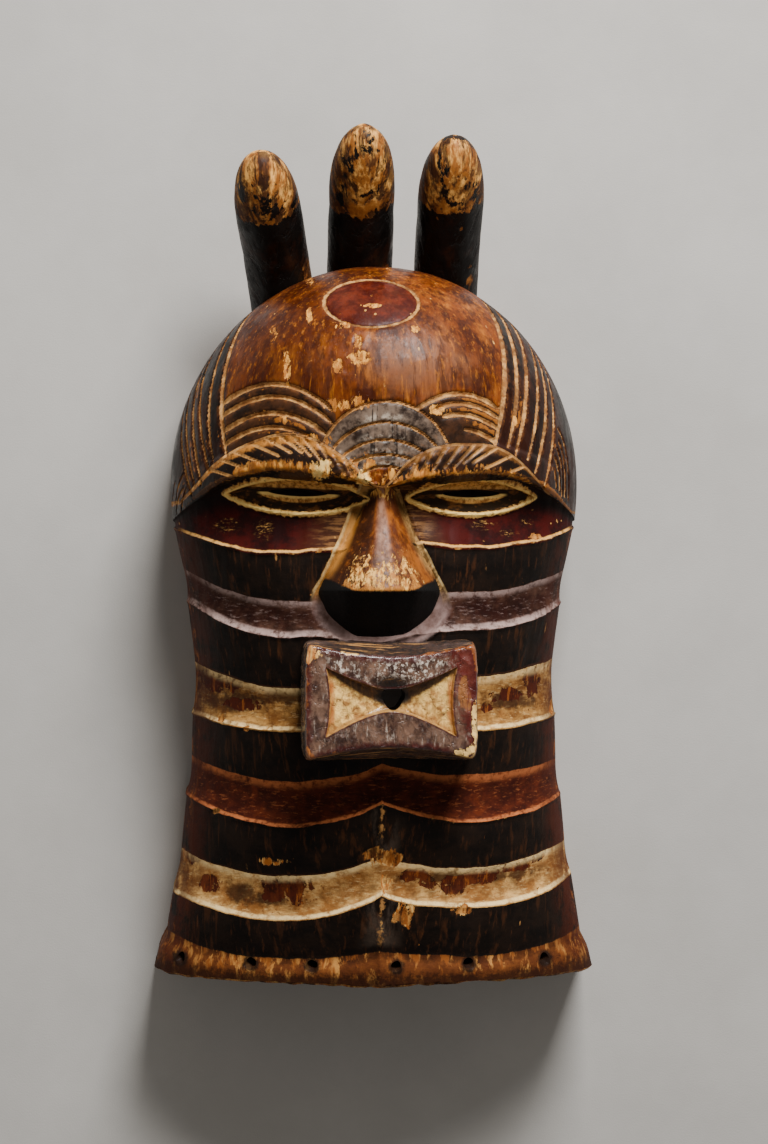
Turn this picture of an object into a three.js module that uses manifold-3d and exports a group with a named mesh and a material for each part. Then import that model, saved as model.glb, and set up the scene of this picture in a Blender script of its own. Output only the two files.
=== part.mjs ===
// A carved wooden face mask with a domed forehead, a pointed box mouth, fluted bands and three horns.
// It lies on its rim: the face looks up along +Z and the crown points along +Y. Millimetres.
import * as THREE from 'three';
import { mergeVertices } from 'three/addons/utils/BufferGeometryUtils.js';
import Module from 'manifold-3d';

const wasm = await Module();
wasm.setup();
const { lerp, smoothstep, clamp } = THREE.MathUtils;

// Heights along Y are counted from the lower end of the nose.
const crownY = 194;
const wallThickness = 12.5;

// The dome: its outline from the front and its middle line from the side.
const domeHalfWidth = 130.5;
const domeWidestY = 56;
const domeTopZ = 175;
const domeTopY = 110;
const domeTuck = 3;
const domeSag = 4.5;
const crownZ = 75;

// The face below the brows: narrowest beside the mouth and flared to its lower edge.
const waistY = -62;
const waistHalfWidth = 114;
const templeHalfWidth = 125;
const templeY = 22;
const chinHalfWidth = 137.5;
const chinY = -254;
const lipY = -41;
const faceTopZ = 160;
const bridgeTopZ = 155;
const chinTopZ = 130;
const sideWallZ = 55;

// Carved lines across the face, each by its height at the side, in the cheek and on the middle line.
// tilt is how far its cheek lies above that on the right and below it on the left, and sideTilt its end.
const lines = [
  { side: 33, cheek: 58.5, middle: 50, tilt: -0.5, sideTilt: 0 },
  { side: 28, cheek: 13, middle: 17, tilt: 2, sideTilt: 0 },
  { side: 3, cheek: -14.5, middle: -14, tilt: 3, sideTilt: 0 },
  { side: -19, cheek: -38, middle: -42, tilt: 2, sideTilt: 0 },
  { side: -54, cheek: -67, middle: -66, tilt: 3.5, sideTilt: 1 },
  { side: -90.5, cheek: -97.5, middle: -96, tilt: 0.3, sideTilt: -1 },
  { side: -118, cheek: -127, middle: -117, tilt: 2, sideTilt: -1 },
  { side: -143, cheek: -156, middle: -141, tilt: 1.5, sideTilt: 0 },
  { side: -173, cheek: -185, middle: -174, tilt: 2, sideTilt: 3 },
  { side: -199, cheek: -212, middle: -199, tilt: 3, sideTilt: 5 },
  { side: -228, cheek: -240, middle: -233, tilt: 0.6, sideTilt: 0.5 },
  { side: chinY, cheek: chinY - 1, middle: chinY - 3, tilt: 0, sideTilt: 0 },
];
const cheekAt = 0.5; // share of the half width where a line hangs lowest
const fluteLip = 3;
const fluteScoop = 1.8;
const socketScoop = 4;
const browHeight = 20;
const browRise = 3.2;
const rimBandRise = 3.5;
const keelRise = 4;
const keelSpread = 0.12;
const keelY = -112;

// Eyes, nose and mouth.
const eyes = [
  { x: -51, y: 47, halfLength: 45, tilt: -0.05 },
  { x: 56, y: 46.5, halfLength: 41, tilt: 0.02 },
];
const eyeHalfHeight = 11.5;
const eyeRimRise = 3.5;
const eyeRimHalfWidth = 2.4;
const innerLid = 0.58;
const slit = { halfLength: 18, halfHeight: 2.4 };
const nose = { topX: 1, tipX: -1.5, topY: 53, tipY: -11, footY: -42, topZ: 157, tipZ: 187 };
const mouth = { x: 4, y: -78, z: 190, halfWidth: 52, halfHeight: 36.5, pinch: 9, flare: 1.5 };
const mouthRecess = { halfWidth: 39, halfHeight: 20, waist: 7.5, depth: 4 };
const mouthHole = { x: 6, y: -75.5, radius: 7.2 };

// Grooves on the forehead: humps over each brow, rings between them and lines down each temple.
const grooveHalfWidth = 1.6;
const grooveDepth = 1.5;
const humps = [
  { x: -68, tops: [114.7, 98], bend: 40, from: -98, to: -31 },
  { x: 47, tops: [108.5, 95.5], bend: 36, from: 18, to: 71 },
];
const browRings = { x: 2, y: 62, radii: [41, 19.5], from: 0.14, to: 0.82 };
const templeLines = [
  { foot: [-95, 71], bow: [-104, 117], top: [-86.5, 153.5] },
  { foot: [-103.5, 72], bow: [-110.5, 108], top: [-96.5, 143] },
  { foot: [69.5, 78.5], bow: [83, 130], top: [70.5, 164] },
  { foot: [83, 72], bow: [97, 122], top: [87.5, 152] },
];
const crownRing = { x: -5, y: 166, halfWidth: 30.5, halfHeight: 16.5, width: 2.6, depth: 1.4 };

// Horns, each by the middle of its tip and of its root.
const hornRadius = 21;
const horns = [
  { tip: [-75, 258.5, 126], root: [-56, 158, 42] },
  { tip: [-9.5, 275, 130], root: [-9.5, 166, 42] },
  { tip: [47, 269, 128], root: [46, 162, 42] },
];

// Holes for tying the costume on, along the lower rim.
const rimHoleRadius = 3.2;
const rimHoleY = -244;
const rimHoles = [-124, -80, -42, 10, 56, 106];

// share is the place across the mask: -1 at the left wall, 0 on the middle line, 1 at the right wall.
function lineY(line, share) {
  const out = Math.abs(share);
  const lean = line.tilt * Math.sin(Math.PI * share) + line.sideTilt * share ** 3;
  if (out < cheekAt) {
    return lean + lerp(line.cheek, line.middle, (1 - out / cheekAt) ** 1.6);
  }
  return lean + lerp(line.cheek, line.side, ((out - cheekAt) / (1 - cheekAt)) ** 2);
}

// In the next five functions inset is how deep in the wood the surface lies, 0 on the outside.
function domeHalfWidthAt(y, inset) {
  const reach = (y - domeWidestY) / (crownY - inset - domeWidestY);
  if (reach > 0) {
    return (domeHalfWidth - inset) * Math.sqrt(Math.max(0, 1 - reach * reach));
  }
  return domeHalfWidth - inset - domeTuck * ((domeWidestY - y) / (domeWidestY - templeY)) ** 2;
}

function faceHalfWidthAt(y, inset) {
  if (y > waistY) {
    const up = (y - waistY) / (templeY - waistY);
    return waistHalfWidth - inset + (templeHalfWidth - waistHalfWidth) * up ** 1.5;
  }
  const down = (waistY - y) / (waistY - chinY);
  return waistHalfWidth - inset + (chinHalfWidth - waistHalfWidth) * down ** 1.9;
}

function domeMiddleZ(y, inset) {
  if (y > domeTopY) {
    const reach = Math.min(1, (y - domeTopY) / (crownY - inset - domeTopY));
    return crownZ + (domeTopZ - inset - crownZ) * Math.sqrt(1 - reach * reach);
  }
  return domeTopZ - inset - domeSag * ((domeTopY - y) / (domeTopY - domeWidestY)) ** 2;
}

function faceMiddleZ(y, inset) {
  if (y > lipY) {
    return lerp(faceTopZ, bridgeTopZ, ((y - lipY) / (nose.topY - lipY)) ** 2) - inset;
  }
  return lerp(faceTopZ, chinTopZ, ((lipY - y) / (lipY - chinY)) ** 1.5) - inset;
}

function wallZ(y, inset) {
  const rise = clamp((y - domeWidestY) / (crownY - inset - domeWidestY), 0, 1);
  return lerp(sideWallZ, crownZ, rise * rise);
}

// How far the point lies below the brow line, as a share of the eye zone. It is negative on the dome.
function belowBrow(share, y) {
  const brow = lineY(lines[0], share);
  return (brow - y) / (brow - lineY(lines[1], share));
}

function carvedDepth(share, y) {
  const out = Math.abs(share);
  const below = belowBrow(share, y);
  if (below < 0) {
    const height = browHeight * (0.1 + 0.9 * smoothstep(out, 0, 0.25));
    const up = Math.min(1, (y - lineY(lines[0], share)) / height);
    return browRise * (1 - smoothstep(out, 0.7, 0.95)) * Math.sqrt(1 - up * up);
  }
  let zone = 0;
  while (zone < lines.length - 2 && y < lineY(lines[zone + 1], share)) {
    zone += 1;
  }
  const upper = lineY(lines[zone], share);
  const lower = lineY(lines[zone + 1], share);
  const down = clamp((upper - y) / (upper - lower), 0, 1);
  const keel = keelRise * Math.exp(-out / keelSpread) * (1 - smoothstep(y, keelY - 20, keelY));
  if (zone % 2 === 1) {
    return keel + fluteLip * (1 - down * down);
  }
  if (zone === lines.length - 2) {
    return keel + rimBandRise * smoothstep(down, 0, 0.6);
  }
  const scoop = zone === 0 ? socketScoop * (1 - smoothstep(out, 0.7, 1)) : fluteScoop;
  return keel + fluteLip * down ** 4 - 4 * scoop * down * (1 - down);
}

// The arch of the mask at one height: half width, middle height, straight side wall and roundness.
function archAt(share, y, inset) {
  const onDome = 1 - smoothstep(belowBrow(share, y - inset), -0.1, 0.12);
  return {
    halfWidth: lerp(faceHalfWidthAt(y, inset), domeHalfWidthAt(y, inset), onDome),
    middle: lerp(faceMiddleZ(y, inset), domeMiddleZ(y, inset), onDome),
    wall: wallZ(y, inset),
    power: lerp(lerp(1.75, 2, smoothstep(y, -140, 20)), 2, onDome),
  };
}

function surfaceZ(x, y) {
  const guess = y > lines[0].side ? domeHalfWidthAt(y, 0) : faceHalfWidthAt(y, 0);
  const share = clamp(x / guess, -1, 1);
  const arch = archAt(share, y, 0);
  const depth = carvedDepth(share, y);
  const across = clamp(Math.abs(x) / (arch.halfWidth + depth), 0, 1);
  const rise = (1 - across ** arch.power) ** (1 / arch.power);
  return arch.wall + (arch.middle + depth - arch.wall) * rise;
}

// One row over the mask from the left rim to the right rim. rimZ is the height of its two ends.
function archRow(yAt, inset, steps, rimZ) {
  const points = [];
  for (let i = 0; i <= steps; i += 1) {
    const angle = Math.PI * (1 - i / steps);
    const share = i === steps / 2 ? 0 : Math.cos(angle);
    const y = yAt(share);
    const arch = archAt(share, y, inset);
    const depth = inset > 0 ? 0 : carvedDepth(share, y);
    const round = 2 / arch.power;
    const x = Math.sign(share) * (arch.halfWidth + depth) * Math.abs(share) ** round;
    const rise = (arch.middle + depth - arch.wall) * Math.abs(Math.sin(angle)) ** round;
    points.push(new THREE.Vector3(x, y, arch.wall + rise));
  }
  points.unshift(points[0].clone().setZ(rimZ));
  points.push(points[points.length - 1].clone().setZ(rimZ));
  return points;
}

// A closed mesh through a run of rings with equal counts. joined makes the run meet itself.
function loft(rings, { joined = false, capEnd = true } = {}) {
  const sides = rings[0].length;
  const points = rings.flat();
  const faces = [];
  const spans = joined ? rings.length : rings.length - 1;
  for (let r = 0; r < spans; r += 1) {
    const here = r * sides;
    const next = ((r + 1) % rings.length) * sides;
    for (let i = 0; i < sides; i += 1) {
      const j = (i + 1) % sides;
      faces.push([here + i, here + j, next + j], [here + i, next + j, next + i]);
    }
  }
  const cap = (first, turn) => {
    const middle = new THREE.Vector3();
    for (let i = 0; i < sides; i += 1) {
      middle.addScaledVector(points[first + i], 1 / sides);
    }
    points.push(middle);
    for (let i = 0; i < sides; i += 1) {
      const pair = [first + i, first + (i + 1) % sides];
      faces.push([points.length - 1, pair[turn], pair[1 - turn]]);
    }
  };
  if (!joined) {
    cap(0, 1);
    if (capEnd) {
      cap((rings.length - 1) * sides, 0);
    }
  }
  const geometry = new THREE.BufferGeometry().setFromPoints(points);
  geometry.setIndex(faces.flat());
  return geometry;
}

// Turns a closed geometry into a solid with its faces pointing out.
function toSolid(source) {
  const geometry = source.clone();
  geometry.deleteAttribute('normal');
  geometry.deleteAttribute('uv');
  const merged = mergeVertices(geometry, 1e-4);
  const position = merged.attributes.position;
  const corners = [new THREE.Vector3(), new THREE.Vector3(), new THREE.Vector3()];
  const kept = [];
  let volume = 0;
  for (let i = 0; i < merged.index.count; i += 3) {
    const face = [0, 1, 2].map((k) => merged.index.getX(i + k));
    if (face[0] !== face[1] && face[1] !== face[2] && face[2] !== face[0]) {
      kept.push(face);
      corners.forEach((corner, k) => corner.fromBufferAttribute(position, face[k]));
      volume += corners[0].dot(corners[1].cross(corners[2]));
    }
  }
  if (volume < 0) {
    kept.forEach((face) => face.reverse());
  }
  return new wasm.Manifold(new wasm.Mesh({
    numProp: 3,
    vertProperties: Float32Array.from(position.array),
    triVerts: Uint32Array.from(kept.flat()),
  }));
}

function toGeometry(solid) {
  const mesh = solid.getMesh();
  const geometry = new THREE.BufferGeometry();
  geometry.setAttribute('position', new THREE.BufferAttribute(mesh.vertProperties, 3));
  geometry.setIndex(new THREE.BufferAttribute(mesh.triVerts, 1));
  geometry.computeVertexNormals();
  return geometry;
}

// The outside of the mask, filled down to its rim plane. Rows follow the carved lines.
function makeBlock() {
  const socketRows = [0.12, 0.35, 0.65, 0.88, 1];
  const fluteRows = [0.35, 0.65, 0.88, 1];
  const bandRows = [0.4, 0.8, 1];
  const domeRows = 15;
  const heights = [(share) => lineY(lines[0], share)];
  for (let zone = 0; zone < lines.length - 1; zone += 1) {
    const flute = zone === 0 ? socketRows : fluteRows;
    for (const down of zone % 2 ? bandRows : flute) {
      heights.unshift((share) => lerp(lineY(lines[zone], share), lineY(lines[zone + 1], share), down));
    }
  }
  const domeFoot = (share) => lerp(lineY(lines[0], share), lineY(lines[1], share), -0.1);
  for (let i = 0; i <= domeRows; i += 1) {
    const up = Math.sin((i / domeRows) * Math.PI / 2);
    heights.push((share) => lerp(domeFoot(share), crownY, up));
  }
  return loft(heights.map((yAt) => archRow(yAt, 0, 30, 0)), { capEnd: false });
}

// The hollow: the same arch moved into the wood, run out past the rim and the open lower end.
function makeHollow() {
  const hollowRows = 14;
  const spare = 10;
  const rings = [];
  for (let i = 0; i <= hollowRows; i += 1) {
    const up = Math.sin((i / hollowRows) * Math.PI / 2);
    const y = lerp(chinY, crownY - wallThickness, up);
    rings.push(archRow(() => y, wallThickness, 18, -spare));
  }
  const outside = rings[0].map((point) => point.clone().setY(chinY - spare));
  return loft([outside, ...rings], { capEnd: false });
}

function makeHorn({ tip, root }) {
  const rings = [];
  const sides = 12;
  const start = new THREE.Vector3(...root);
  const end = new THREE.Vector3(...tip);
  const bend = start.clone().lerp(end, 0.5).add(new THREE.Vector3(0, 9, -9));
  const axis = new THREE.QuadraticBezierCurve3(start, bend, end);
  const steps = [0, 0.25, 0.5, 0.7, 0.82, 0.9, 0.96, 0.99];
  for (const along of steps) {
    const centre = axis.getPoint(along);
    const forward = axis.getTangent(along);
    const side = new THREE.Vector3(1, 0, 0).addScaledVector(forward, -forward.x).normalize();
    const up = new THREE.Vector3().crossVectors(side, forward);
    const bullet = Math.max(0, (along - 0.6) / 0.4);
    const radius = hornRadius * Math.sqrt(1 - bullet ** 2.6);
    rings.push(Array.from({ length: sides }, (_, i) => {
      const angle = (i / sides) * Math.PI * 2;
      return centre.clone()
        .addScaledVector(side, radius * Math.cos(angle))
        .addScaledVector(up, radius * Math.sin(angle));
    }));
  }
  return loft(rings);
}

// A wedge from the bridge to the tip, then an underside that runs back to the upper lip.
function makeNose() {
  const tipAlong = nose.topY - nose.tipY;
  const stations = [
    { y: nose.topY, foot: 9, crest: 3, z: nose.topZ },
    { y: nose.topY - 0.3 * tipAlong, foot: 16, crest: 7, z: lerp(nose.topZ, nose.tipZ, 0.25) },
    { y: nose.topY - 0.6 * tipAlong, foot: 24, crest: 12, z: lerp(nose.topZ, nose.tipZ, 0.58) },
    { y: nose.topY - 0.85 * tipAlong, foot: 33, crest: 19, z: lerp(nose.topZ, nose.tipZ, 0.88) },
    { y: nose.tipY, foot: 37, crest: 23, z: nose.tipZ },
    { y: nose.tipY - 3, foot: 37, crest: 22, z: nose.tipZ - 3 },
    { y: nose.tipY - 15, foot: 33, crest: 19, z: nose.tipZ - 14 },
    { y: nose.footY, foot: 20, crest: 14, z: faceTopZ - 1 },
  ];
  const section = [[-1, 0, -1], [-1, 0, 0.25], [-1, 1, 0.86], [0, 1, 1], [1, 1, 0.86], [1, 0, 0.25], [1, 0, -1]];
  return loft(stations.map(({ y, foot, crest, z }) => section.map(([side, upper, rise]) => {
    const x = lerp(nose.topX, nose.tipX, Math.min(1, (nose.topY - y) / tipAlong));
    const base = surfaceZ(x + side * foot, y) - 8;
    const across = side * lerp(foot, crest, upper);
    const height = rise < 0 ? base - 2 : lerp(base, z, rise);
    return new THREE.Vector3(x + across, y, height);
  })));
}

// The mouth is a block whose front edges bow in towards the middle of each lip.
function makeMouth() {
  const outline = (halfWidth, halfHeight, pinch, z) => {
    const ring = [];
    const steps = 10;
    for (const side of [1, -1]) {
      for (let i = 0; i <= steps; i += 1) {
        const across = side * (1 - (2 * i) / steps);
        const bow = pinch * (1 - across * across);
        ring.push(new THREE.Vector3(mouth.x + halfWidth * across, mouth.y + side * (halfHeight - bow), z));
      }
    }
    return ring;
  };
  const { halfWidth, halfHeight, pinch, flare } = mouth;
  return loft([
    outline(halfWidth + flare, halfHeight + flare, pinch * 0.2, mouth.z - 50),
    outline(halfWidth + flare, halfHeight + flare, pinch * 0.3, mouth.z - 26),
    outline(halfWidth, halfHeight, pinch * 0.9, mouth.z - 3),
    outline(halfWidth - 2, halfHeight - 2, pinch, mouth.z),
  ]);
}

function makeMouthRecess() {
  const { halfWidth, halfHeight, waist, depth } = mouthRecess;
  const shape = new THREE.Shape();
  shape.moveTo(-halfWidth, halfHeight);
  shape.quadraticCurveTo(-halfWidth / 3, waist, 0, waist);
  shape.quadraticCurveTo(halfWidth / 3, waist, halfWidth, halfHeight);
  shape.quadraticCurveTo(halfWidth - 5, 0, halfWidth, -halfHeight);
  shape.quadraticCurveTo(halfWidth / 3, -waist, 0, -waist);
  shape.quadraticCurveTo(-halfWidth / 3, -waist, -halfWidth, -halfHeight);
  shape.quadraticCurveTo(-halfWidth + 5, 0, -halfWidth, halfHeight);
  const geometry = new THREE.ExtrudeGeometry(shape, { depth: depth + 5, bevelEnabled: false, curveSegments: 6 });
  return geometry.translate(mouth.x, mouth.y, mouth.z - depth);
}

// A point on the almond of an eye, size 1 on its outer rim.
function eyePoint(eye, angle, grow, size = 1) {
  const along = (eye.halfLength * size + grow) * Math.cos(angle);
  const sine = Math.sin(angle);
  const up = (eyeHalfHeight * size + grow) * sine * Math.abs(sine) ** 0.7;
  return [
    eye.x + along * Math.cos(eye.tilt) - up * Math.sin(eye.tilt),
    eye.y + along * Math.sin(eye.tilt) + up * Math.cos(eye.tilt),
  ];
}

function makeEyeRim(eye, size) {
  const stations = 20;
  const half = eyeRimHalfWidth;
  const section = [[half, -2], [half * 0.3, eyeRimRise], [-half * 0.3, eyeRimRise], [-half, -2]];
  const rings = [];
  for (let i = 0; i < stations; i += 1) {
    const angle = (i / stations) * Math.PI * 2;
    rings.push(section.map(([grow, rise]) => {
      const [x, y] = eyePoint(eye, angle, grow, size);
      return new THREE.Vector3(x, y, surfaceZ(x, y) + rise);
    }));
  }
  return loft(rings, { joined: true });
}

function makeEyeSlit(eye) {
  const stations = 12;
  const ringAt = (z) => Array.from({ length: stations }, (_, i) => {
    const angle = (i / stations) * Math.PI * 2;
    const along = slit.halfLength * Math.cos(angle);
    const up = slit.halfHeight * Math.sin(angle);
    return new THREE.Vector3(eye.x + along, eye.y + along * eye.tilt + up, z);
  });
  return loft([ringAt(90), ringAt(200)]);
}

function makeCrownRing() {
  const { x, y, halfWidth, halfHeight, width, depth } = crownRing;
  const stations = 20;
  const section = [[-width, 1.5], [width, 1.5], [0, -depth]];
  const rings = [];
  for (let i = 0; i < stations; i += 1) {
    const angle = (i / stations) * Math.PI * 2;
    rings.push(section.map(([grow, rise]) => {
      const px = x + (halfWidth + grow) * Math.cos(angle);
      const py = y + (halfHeight + grow * 0.6) * Math.sin(angle);
      return new THREE.Vector3(px, py, surfaceZ(px, py) + rise);
    }));
  }
  return loft(rings, { joined: true });
}

// A V-shaped cut that follows a run of [x, y] points over the forehead and ends in a point.
function makeGroove(points) {
  const lift = 2 * grooveDepth;
  const reach = grooveHalfWidth * (1 + lift / grooveDepth);
  const section = [[-reach, lift], [reach, lift], [0, -grooveDepth]];
  return loft(points.map(([x, y], i) => {
    const before = points[Math.max(0, i - 1)];
    const after = points[Math.min(points.length - 1, i + 1)];
    const run = Math.hypot(after[0] - before[0], after[1] - before[1]);
    const across = [(before[1] - after[1]) / run, (after[0] - before[0]) / run];
    const fade = i === 0 || i === points.length - 1 ? 0.3 : 1;
    return section.map(([side, rise]) => {
      const px = x + across[0] * side * fade;
      const py = y + across[1] * side * fade;
      return new THREE.Vector3(px, py, surfaceZ(px, py) + (rise < 0 ? rise * fade : rise));
    });
  }));
}

function makeGrooves() {
  const stations = 6;
  const runs = [];
  const addRun = (pointAt) => runs.push(Array.from({ length: stations + 1 }, (_, i) => pointAt(i / stations)));
  for (const hump of humps) {
    for (const top of hump.tops) {
      addRun((t) => {
        const x = lerp(hump.from, hump.to, t);
        return [x, top - (x - hump.x) ** 2 / (2 * hump.bend)];
      });
    }
  }
  for (const radius of browRings.radii) {
    addRun((t) => {
      const angle = Math.PI * lerp(browRings.from, browRings.to, t);
      return [browRings.x + radius * Math.cos(angle), browRings.y + radius * Math.sin(angle)];
    });
  }
  for (const { foot, bow, top } of templeLines) {
    const corners = [foot, bow, top].map((pair) => new THREE.Vector2(...pair));
    const curve = new THREE.QuadraticBezierCurve(...corners);
    addRun((t) => curve.getPoint(t).toArray());
  }
  return runs.map(makeGroove);
}

function makeRimHole(x) {
  const share = x / faceHalfWidthAt(rimHoleY, 0);
  const arch = archAt(share, rimHoleY, 0);
  const z = surfaceZ(x, rimHoleY);
  const lean = Math.sign(x) * Math.abs(share) ** (arch.power - 1) / arch.halfWidth;
  const rise = ((z - arch.wall) / (arch.middle - arch.wall)) ** (arch.power - 1) / (arch.middle - arch.wall);
  const outward = new THREE.Vector3(lean, 0, rise).normalize();
  const hole = new THREE.CylinderGeometry(rimHoleRadius, rimHoleRadius, 4 * wallThickness, 8);
  hole.applyQuaternion(new THREE.Quaternion().setFromUnitVectors(new THREE.Vector3(0, 1, 0), outward));
  return hole.translate(x, rimHoleY, z);
}

function makeMask() {
  let wood = toSolid(makeBlock());
  for (const horn of horns) {
    wood = wood.add(toSolid(makeHorn(horn)));
  }
  wood = wood.add(toSolid(makeNose())).add(toSolid(makeMouth()));
  for (const eye of eyes) {
    wood = wood.add(toSolid(makeEyeRim(eye, 1))).add(toSolid(makeEyeRim(eye, innerLid)));
  }
  wood = wood.subtract(toSolid(makeHollow()));
  wood = wood.subtract(toSolid(makeMouthRecess()));
  const hole = new THREE.CylinderGeometry(mouthHole.radius, mouthHole.radius, 120, 12);
  hole.rotateX(Math.PI / 2).translate(mouthHole.x, mouthHole.y, mouth.z - 40);
  wood = wood.subtract(toSolid(hole)).subtract(toSolid(makeCrownRing()));
  for (const eye of eyes) {
    wood = wood.subtract(toSolid(makeEyeSlit(eye)));
  }
  for (const cut of [...rimHoles.map(makeRimHole), ...makeGrooves()]) {
    wood = wood.subtract(toSolid(cut));
  }
  const largestFirst = wood.decompose().sort((a, b) => b.volume() - a.volume());
  return toGeometry(largestFirst[0]);
}

const geometry = makeMask();
geometry.computeBoundingBox();
const middle = geometry.boundingBox.getCenter(new THREE.Vector3());
geometry.translate(-middle.x, -middle.y, -geometry.boundingBox.min.z);

const darkWood = new THREE.MeshStandardMaterial({ color: 0x5a3018, roughness: 0.6, metalness: 0 });
const mask = new THREE.Mesh(geometry, darkWood);
mask.name = 'mask';

const part = new THREE.Group();
part.add(mask);

export default part;
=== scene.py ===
import math

import bpy
import numpy as np
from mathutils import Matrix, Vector
from mathutils.kdtree import KDTree


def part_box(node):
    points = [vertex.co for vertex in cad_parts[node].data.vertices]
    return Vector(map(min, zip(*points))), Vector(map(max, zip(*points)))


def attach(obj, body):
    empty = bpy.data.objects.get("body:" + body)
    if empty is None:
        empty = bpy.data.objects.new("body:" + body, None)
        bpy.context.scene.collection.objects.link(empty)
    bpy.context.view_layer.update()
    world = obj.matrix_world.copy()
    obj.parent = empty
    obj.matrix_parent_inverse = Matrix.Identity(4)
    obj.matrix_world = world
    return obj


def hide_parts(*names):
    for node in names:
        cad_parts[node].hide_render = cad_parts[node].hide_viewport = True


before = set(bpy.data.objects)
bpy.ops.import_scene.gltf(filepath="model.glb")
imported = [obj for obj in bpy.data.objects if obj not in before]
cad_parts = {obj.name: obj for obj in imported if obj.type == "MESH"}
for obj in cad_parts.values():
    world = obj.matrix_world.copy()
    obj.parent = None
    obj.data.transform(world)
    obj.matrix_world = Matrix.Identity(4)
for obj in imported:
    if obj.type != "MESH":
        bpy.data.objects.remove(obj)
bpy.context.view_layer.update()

mm = 0.001
finishes = ["domeVarnish", "bandedFace", "noseWood", "mouthPaint", "hornWood", "hollowWood"]

# Sizes are in millimetres, and the studio's in metres. Y is counted from the lower end of the nose.
form = {
    "crownY": 194, "crownZ": 75, "chinY": -254, "lowestY": -257, "wall": 12.5,
    "domeHalfWidth": 130.5, "domeWidestY": 56, "domeTopZ": 175, "domeTopY": 110,
    "domeTuck": 3, "domeSag": 4.5, "waistY": -62, "waistHalfWidth": 114,
    "templeHalfWidth": 125, "templeY": 22, "chinHalfWidth": 137.5,
    "lipY": -41, "faceTopZ": 160, "bridgeTopZ": 155, "chinTopZ": 130, "sideWallZ": 55,
    "cheekAt": 0.5, "fluteLip": 3, "fluteScoop": 1.8, "socketScoop": 4.5,
    "browHeight": 20, "browRise": 3.4, "rimBandRise": 3.5,
    "keelRise": 4, "keelSpread": 0.12, "keelY": -112, "lineWobble": 0.7,
}

# The lines carved across the face: height at the side, in the cheek and on the middle line,
# then how far the cheek and the side lean up to the right.
carvedLines = [
    (33, 58.5, 50, -0.5, 0),
    (28, 13, 17, 2, 0),
    (3, -14.5, -14, 3, 0),
    (-19, -38, -42, 2, 0),
    (-54, -67, -66, 3.5, 1),
    (-90.5, -97.5, -96, 0.3, -1),
    (-118, -127, -117, 2, -1),
    (-143, -156, -141, 1.5, 0),
    (-173, -185, -174, 2, 3),
    (-199, -212, -199, 3, 5),
    (-228, -240, -233, 0.6, 0.5),
    (-254, -255, -257, 0, 0),
]
lastZone = len(carvedLines) - 2


def blend(a, b, t):
    return a + (b - a) * t


# Keeps a value between 0 and 1.
def unit(value):
    return np.clip(value, 0, 1)


def smoothstep(low, high, value):
    t = unit((value - low) / (high - low))
    return t * t * (3 - 2 * t)


# Angles once round a circle.
def turns(count):
    return np.linspace(0, 2 * np.pi, count, endpoint=False)


# Reach from the middle of an oval: 1 on its edge.
def ovalReach(oval, x, y):
    return np.hypot((x - oval["x"]) / oval["halfWidth"], (y - oval["y"]) / oval["halfHeight"])


def addObject(name, data):
    made = bpy.data.objects.new(name, data)
    bpy.context.scene.collection.objects.link(made)
    return made


latticeSize = 128
lattices = {}


def lattice(seed):
    if seed not in lattices:
        lattices[seed] = np.random.default_rng(seed).random((latticeSize, latticeSize))
    return lattices[seed]


# Smooth noise from -1 to 1, one bump for each unit of u and v.
def noise(u, v, seed):
    table = lattice(seed)
    left, low = np.floor(u).astype(int), np.floor(v).astype(int)
    fu, fv = u - left, v - low
    fu, fv = fu * fu * (3 - 2 * fu), fv * fv * (3 - 2 * fv)
    i, j = left % latticeSize, low % latticeSize
    nextI, nextJ = (i + 1) % latticeSize, (j + 1) % latticeSize
    bottom = blend(table[i, j], table[nextI, j], fu)
    top = blend(table[i, nextJ], table[nextI, nextJ], fu)
    return 2 * blend(bottom, top, fv) - 1


# Distance to the nearest of a field of scattered points, one in each unit cell.
def scatterDistance(u, v, seed):
    left, low = np.floor(u).astype(int), np.floor(v).astype(int)
    nearest = np.full(np.shape(u), 9.0)
    for stepU in (-1, 0, 1):
        for stepV in (-1, 0, 1):
            i, j = (left + stepU) % latticeSize, (low + stepV) % latticeSize
            offU = left + stepU + lattice(seed)[i, j] - u
            offV = low + stepV + lattice(seed + 1)[i, j] - v
            nearest = np.minimum(nearest, offU ** 2 + offV ** 2)
    return np.sqrt(nearest)


# The carved form, the same as the solid's

# share is the place across the mask: -1 at the left wall, 0 on the middle line, 1 at the right wall.
def lineHeights(share):
    out = np.abs(share)
    heights = []
    for number, (side, cheek, middle, tilt, sideTilt) in enumerate(carvedLines):
        lean = tilt * np.sin(np.pi * share) + sideTilt * share ** 3
        near = blend(cheek, middle, unit(1 - out / form["cheekAt"]) ** 1.6)
        far = blend(cheek, side, unit((out - form["cheekAt"]) / (1 - form["cheekAt"])) ** 2)
        wobble = noise(6 * share + 40, np.full_like(share, 3.0 * number), 11)
        wobble = wobble + 0.5 * noise(17 * share + 40, np.full_like(share, 3.0 * number), 12)
        still = number in (0, lastZone + 1)
        heights.append(lean + np.where(out < form["cheekAt"], near, far)
                       + (0 if still else form["lineWobble"]) * wobble)
    return np.stack(heights)


def domeHalfWidthAt(y, inset):
    reach = (y - form["domeWidestY"]) / (form["crownY"] - inset - form["domeWidestY"])
    above = (form["domeHalfWidth"] - inset) * np.sqrt(unit(1 - reach * reach))
    down = (form["domeWidestY"] - y) / (form["domeWidestY"] - form["templeY"])
    below = form["domeHalfWidth"] - inset - form["domeTuck"] * down ** 2
    return np.where(reach > 0, above, below)


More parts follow.
